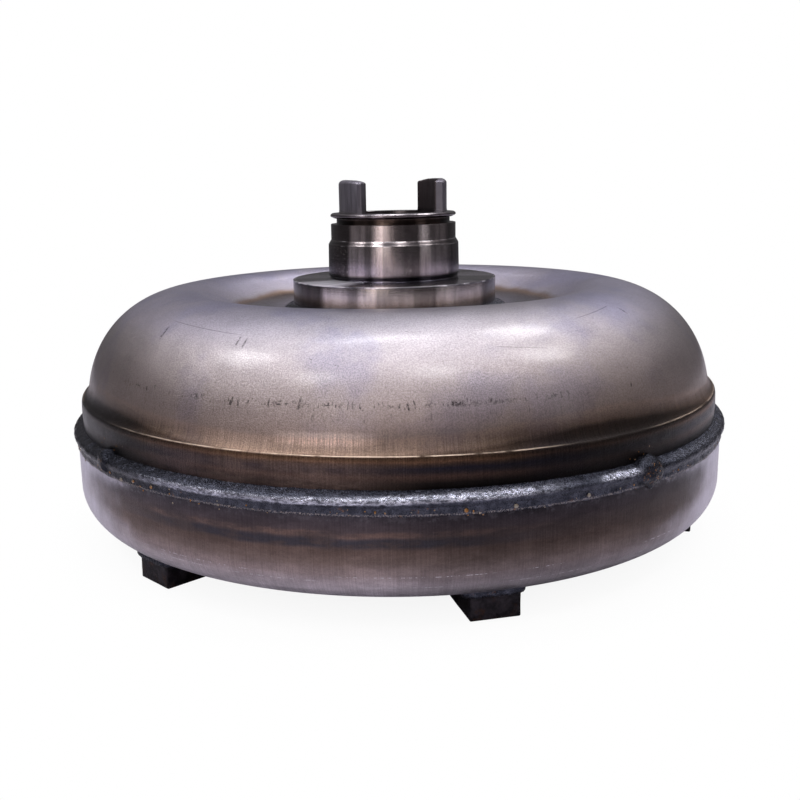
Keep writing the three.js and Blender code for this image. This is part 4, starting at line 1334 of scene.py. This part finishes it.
def cut_hole(block, degrees):
    """Cuts the tapped hole through the block, and leaves its thread as part of the same mesh."""
    mouth, start = LUG_HOLE_RADIUS + 0.5, 0.6
    end = start + THREAD_PITCH * THREAD_TURNS
    outline = [(0.001, -2), (mouth, -2), (mouth, 0), (LUG_HOLE_RADIUS, start)]
    for i in range(THREAD_TURNS):
        outline.append((LUG_HOLE_RADIUS, start + THREAD_PITCH * i))
        outline.append((LUG_HOLE_RADIUS + THREAD_DEPTH, start + THREAD_PITCH * (i + 0.5)))
    outline += [(LUG_HOLE_RADIUS, end), (0.001, end)]
    vertices, faces = turned_mesh(outline, 36)
    placed = [to_lug((x + LUG_HOLE_CIRCLE, y, z), degrees) for x, y, z in vertices]
    cutter = add_object("cutter", mesh_in_metres("cutter", placed, faces))
    change = block.modifiers.new("hole", "BOOLEAN")
    change.operation = "DIFFERENCE"
    change.solver = "EXACT"
    change.object = cutter
    bpy.context.view_layer.update()
    cut = block.evaluated_get(bpy.context.evaluated_depsgraph_get())
    result = bpy.data.meshes.new_from_object(cut)
    block.modifiers.clear()
    block.data = result
    bpy.data.objects.remove(cutter)
    result.shade_smooth()
    result.set_sharp_from_angle(angle=radians(40))


def damper_spring(number):
    """A coil spring along the turning direction, carried on the damper's body."""
    node = f"damper_spring_{number}"
    low, high = box_mm(node)
    middle = (low + high) / 2
    along = Vector((-middle.y, middle.x, 0)).normalized()
    out = Vector((middle.x, middle.y, 0)).normalized()
    length = max(high.x - low.x, high.y - low.y) - 2 * SPRING_WIRE
    path = []
    for i in range(SPRING_STEPS * SPRING_TURNS + 1):
        t = i / (SPRING_STEPS * SPRING_TURNS)
        turn = TURN * SPRING_TURNS * t
        across = out * cos(turn) + Vector((0, 0, 1)) * sin(turn)
        path.append(tuple(middle + along * length * (t - 0.5) + across * SPRING_COIL))
    coil = tube(path, lambda along, turn: SPRING_WIRE, 10)
    piece = add_piece(f"damper_coil_{number}", *coil, SPRING, "spring_steel", 60, "damper")
    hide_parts(node)
    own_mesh(piece)


impeller_shell()
front_cover()
shell_weld()
weld_spatter()
pump_hub()
hub_weld()
crank_pilot()
for lug in range(LUG_COUNT):
    drive_lug(lug + 1, -90 + 360 * lug / LUG_COUNT)
for spring in range(SPRING_COUNT):
    damper_spring(spring + 1)

# ---------------- floor


def floor_material():
    """Pale and plain to the eye from above, clear from below; in the metal's reflections it
    fades to a dark room with two lit cards."""
    s = Shader("pale_floor", metallic=0, roughness=0.9)
    seen = s.node("LightPath", {}, "Is Camera Ray")
    front = s.angle - CAMERA_SIDE_ANGLE
    ahead = front.band(10, 60, 40) * s.radius.span(260, 420)
    cards = s.any_of([front.band(-15, 14, 5), front.band(56, 7, 4) * 0.35])
    far = s.radius.span(450, 1100)
    around = s.mix(far, (212, 209, 217), (84, 82, 86))
    room = s.mix(ahead, around, s.mix(cards, (98, 94, 97), (255, 242, 238)))
    s.feed(s.mix(seen, room, (246, 246, 247)), "Base Color")
    glow = s.radius.span(60, 190, 0.82, 1) * seen
    lit = s.node("MixShader", {0: glow, 1: s.main.outputs[0], 2: s.node("Emission", {})})
    below = s.node("NewGeometry", {}, "Backfacing")
    one_sided = s.node("MixShader", {0: below, 1: lit, 2: s.node("BsdfTransparent", {})})
    s.tree.links.new(one_sided.socket, s.tree.nodes["Material Output"].inputs["Surface"])
    return s.material


FLOOR_RADIUS = 4000
FLOOR_RINGS = 3
FLOOR_SIDES = 96


def make_floor():
    vertices = [(0, 0, 0)]
    for i in range(1, FLOOR_RINGS + 1):
        radius = FLOOR_RADIUS * i / FLOOR_RINGS
        for k in range(FLOOR_SIDES):
            turn = TURN * k / FLOOR_SIDES
            vertices.append((radius * cos(turn), radius * sin(turn), 0))
    faces = [(0, 1 + k, 1 + (k + 1) % FLOOR_SIDES) for k in range(FLOOR_SIDES)]
    faces += ring_quads(1, FLOOR_RINGS - 1, FLOOR_SIDES)
    floor = add_object("floor", mesh_in_metres("floor", vertices, faces))
    floor.data.materials.append(floor_material())
    floor.location.z = cad_bounds[0][2] - 0.0002


make_floor()
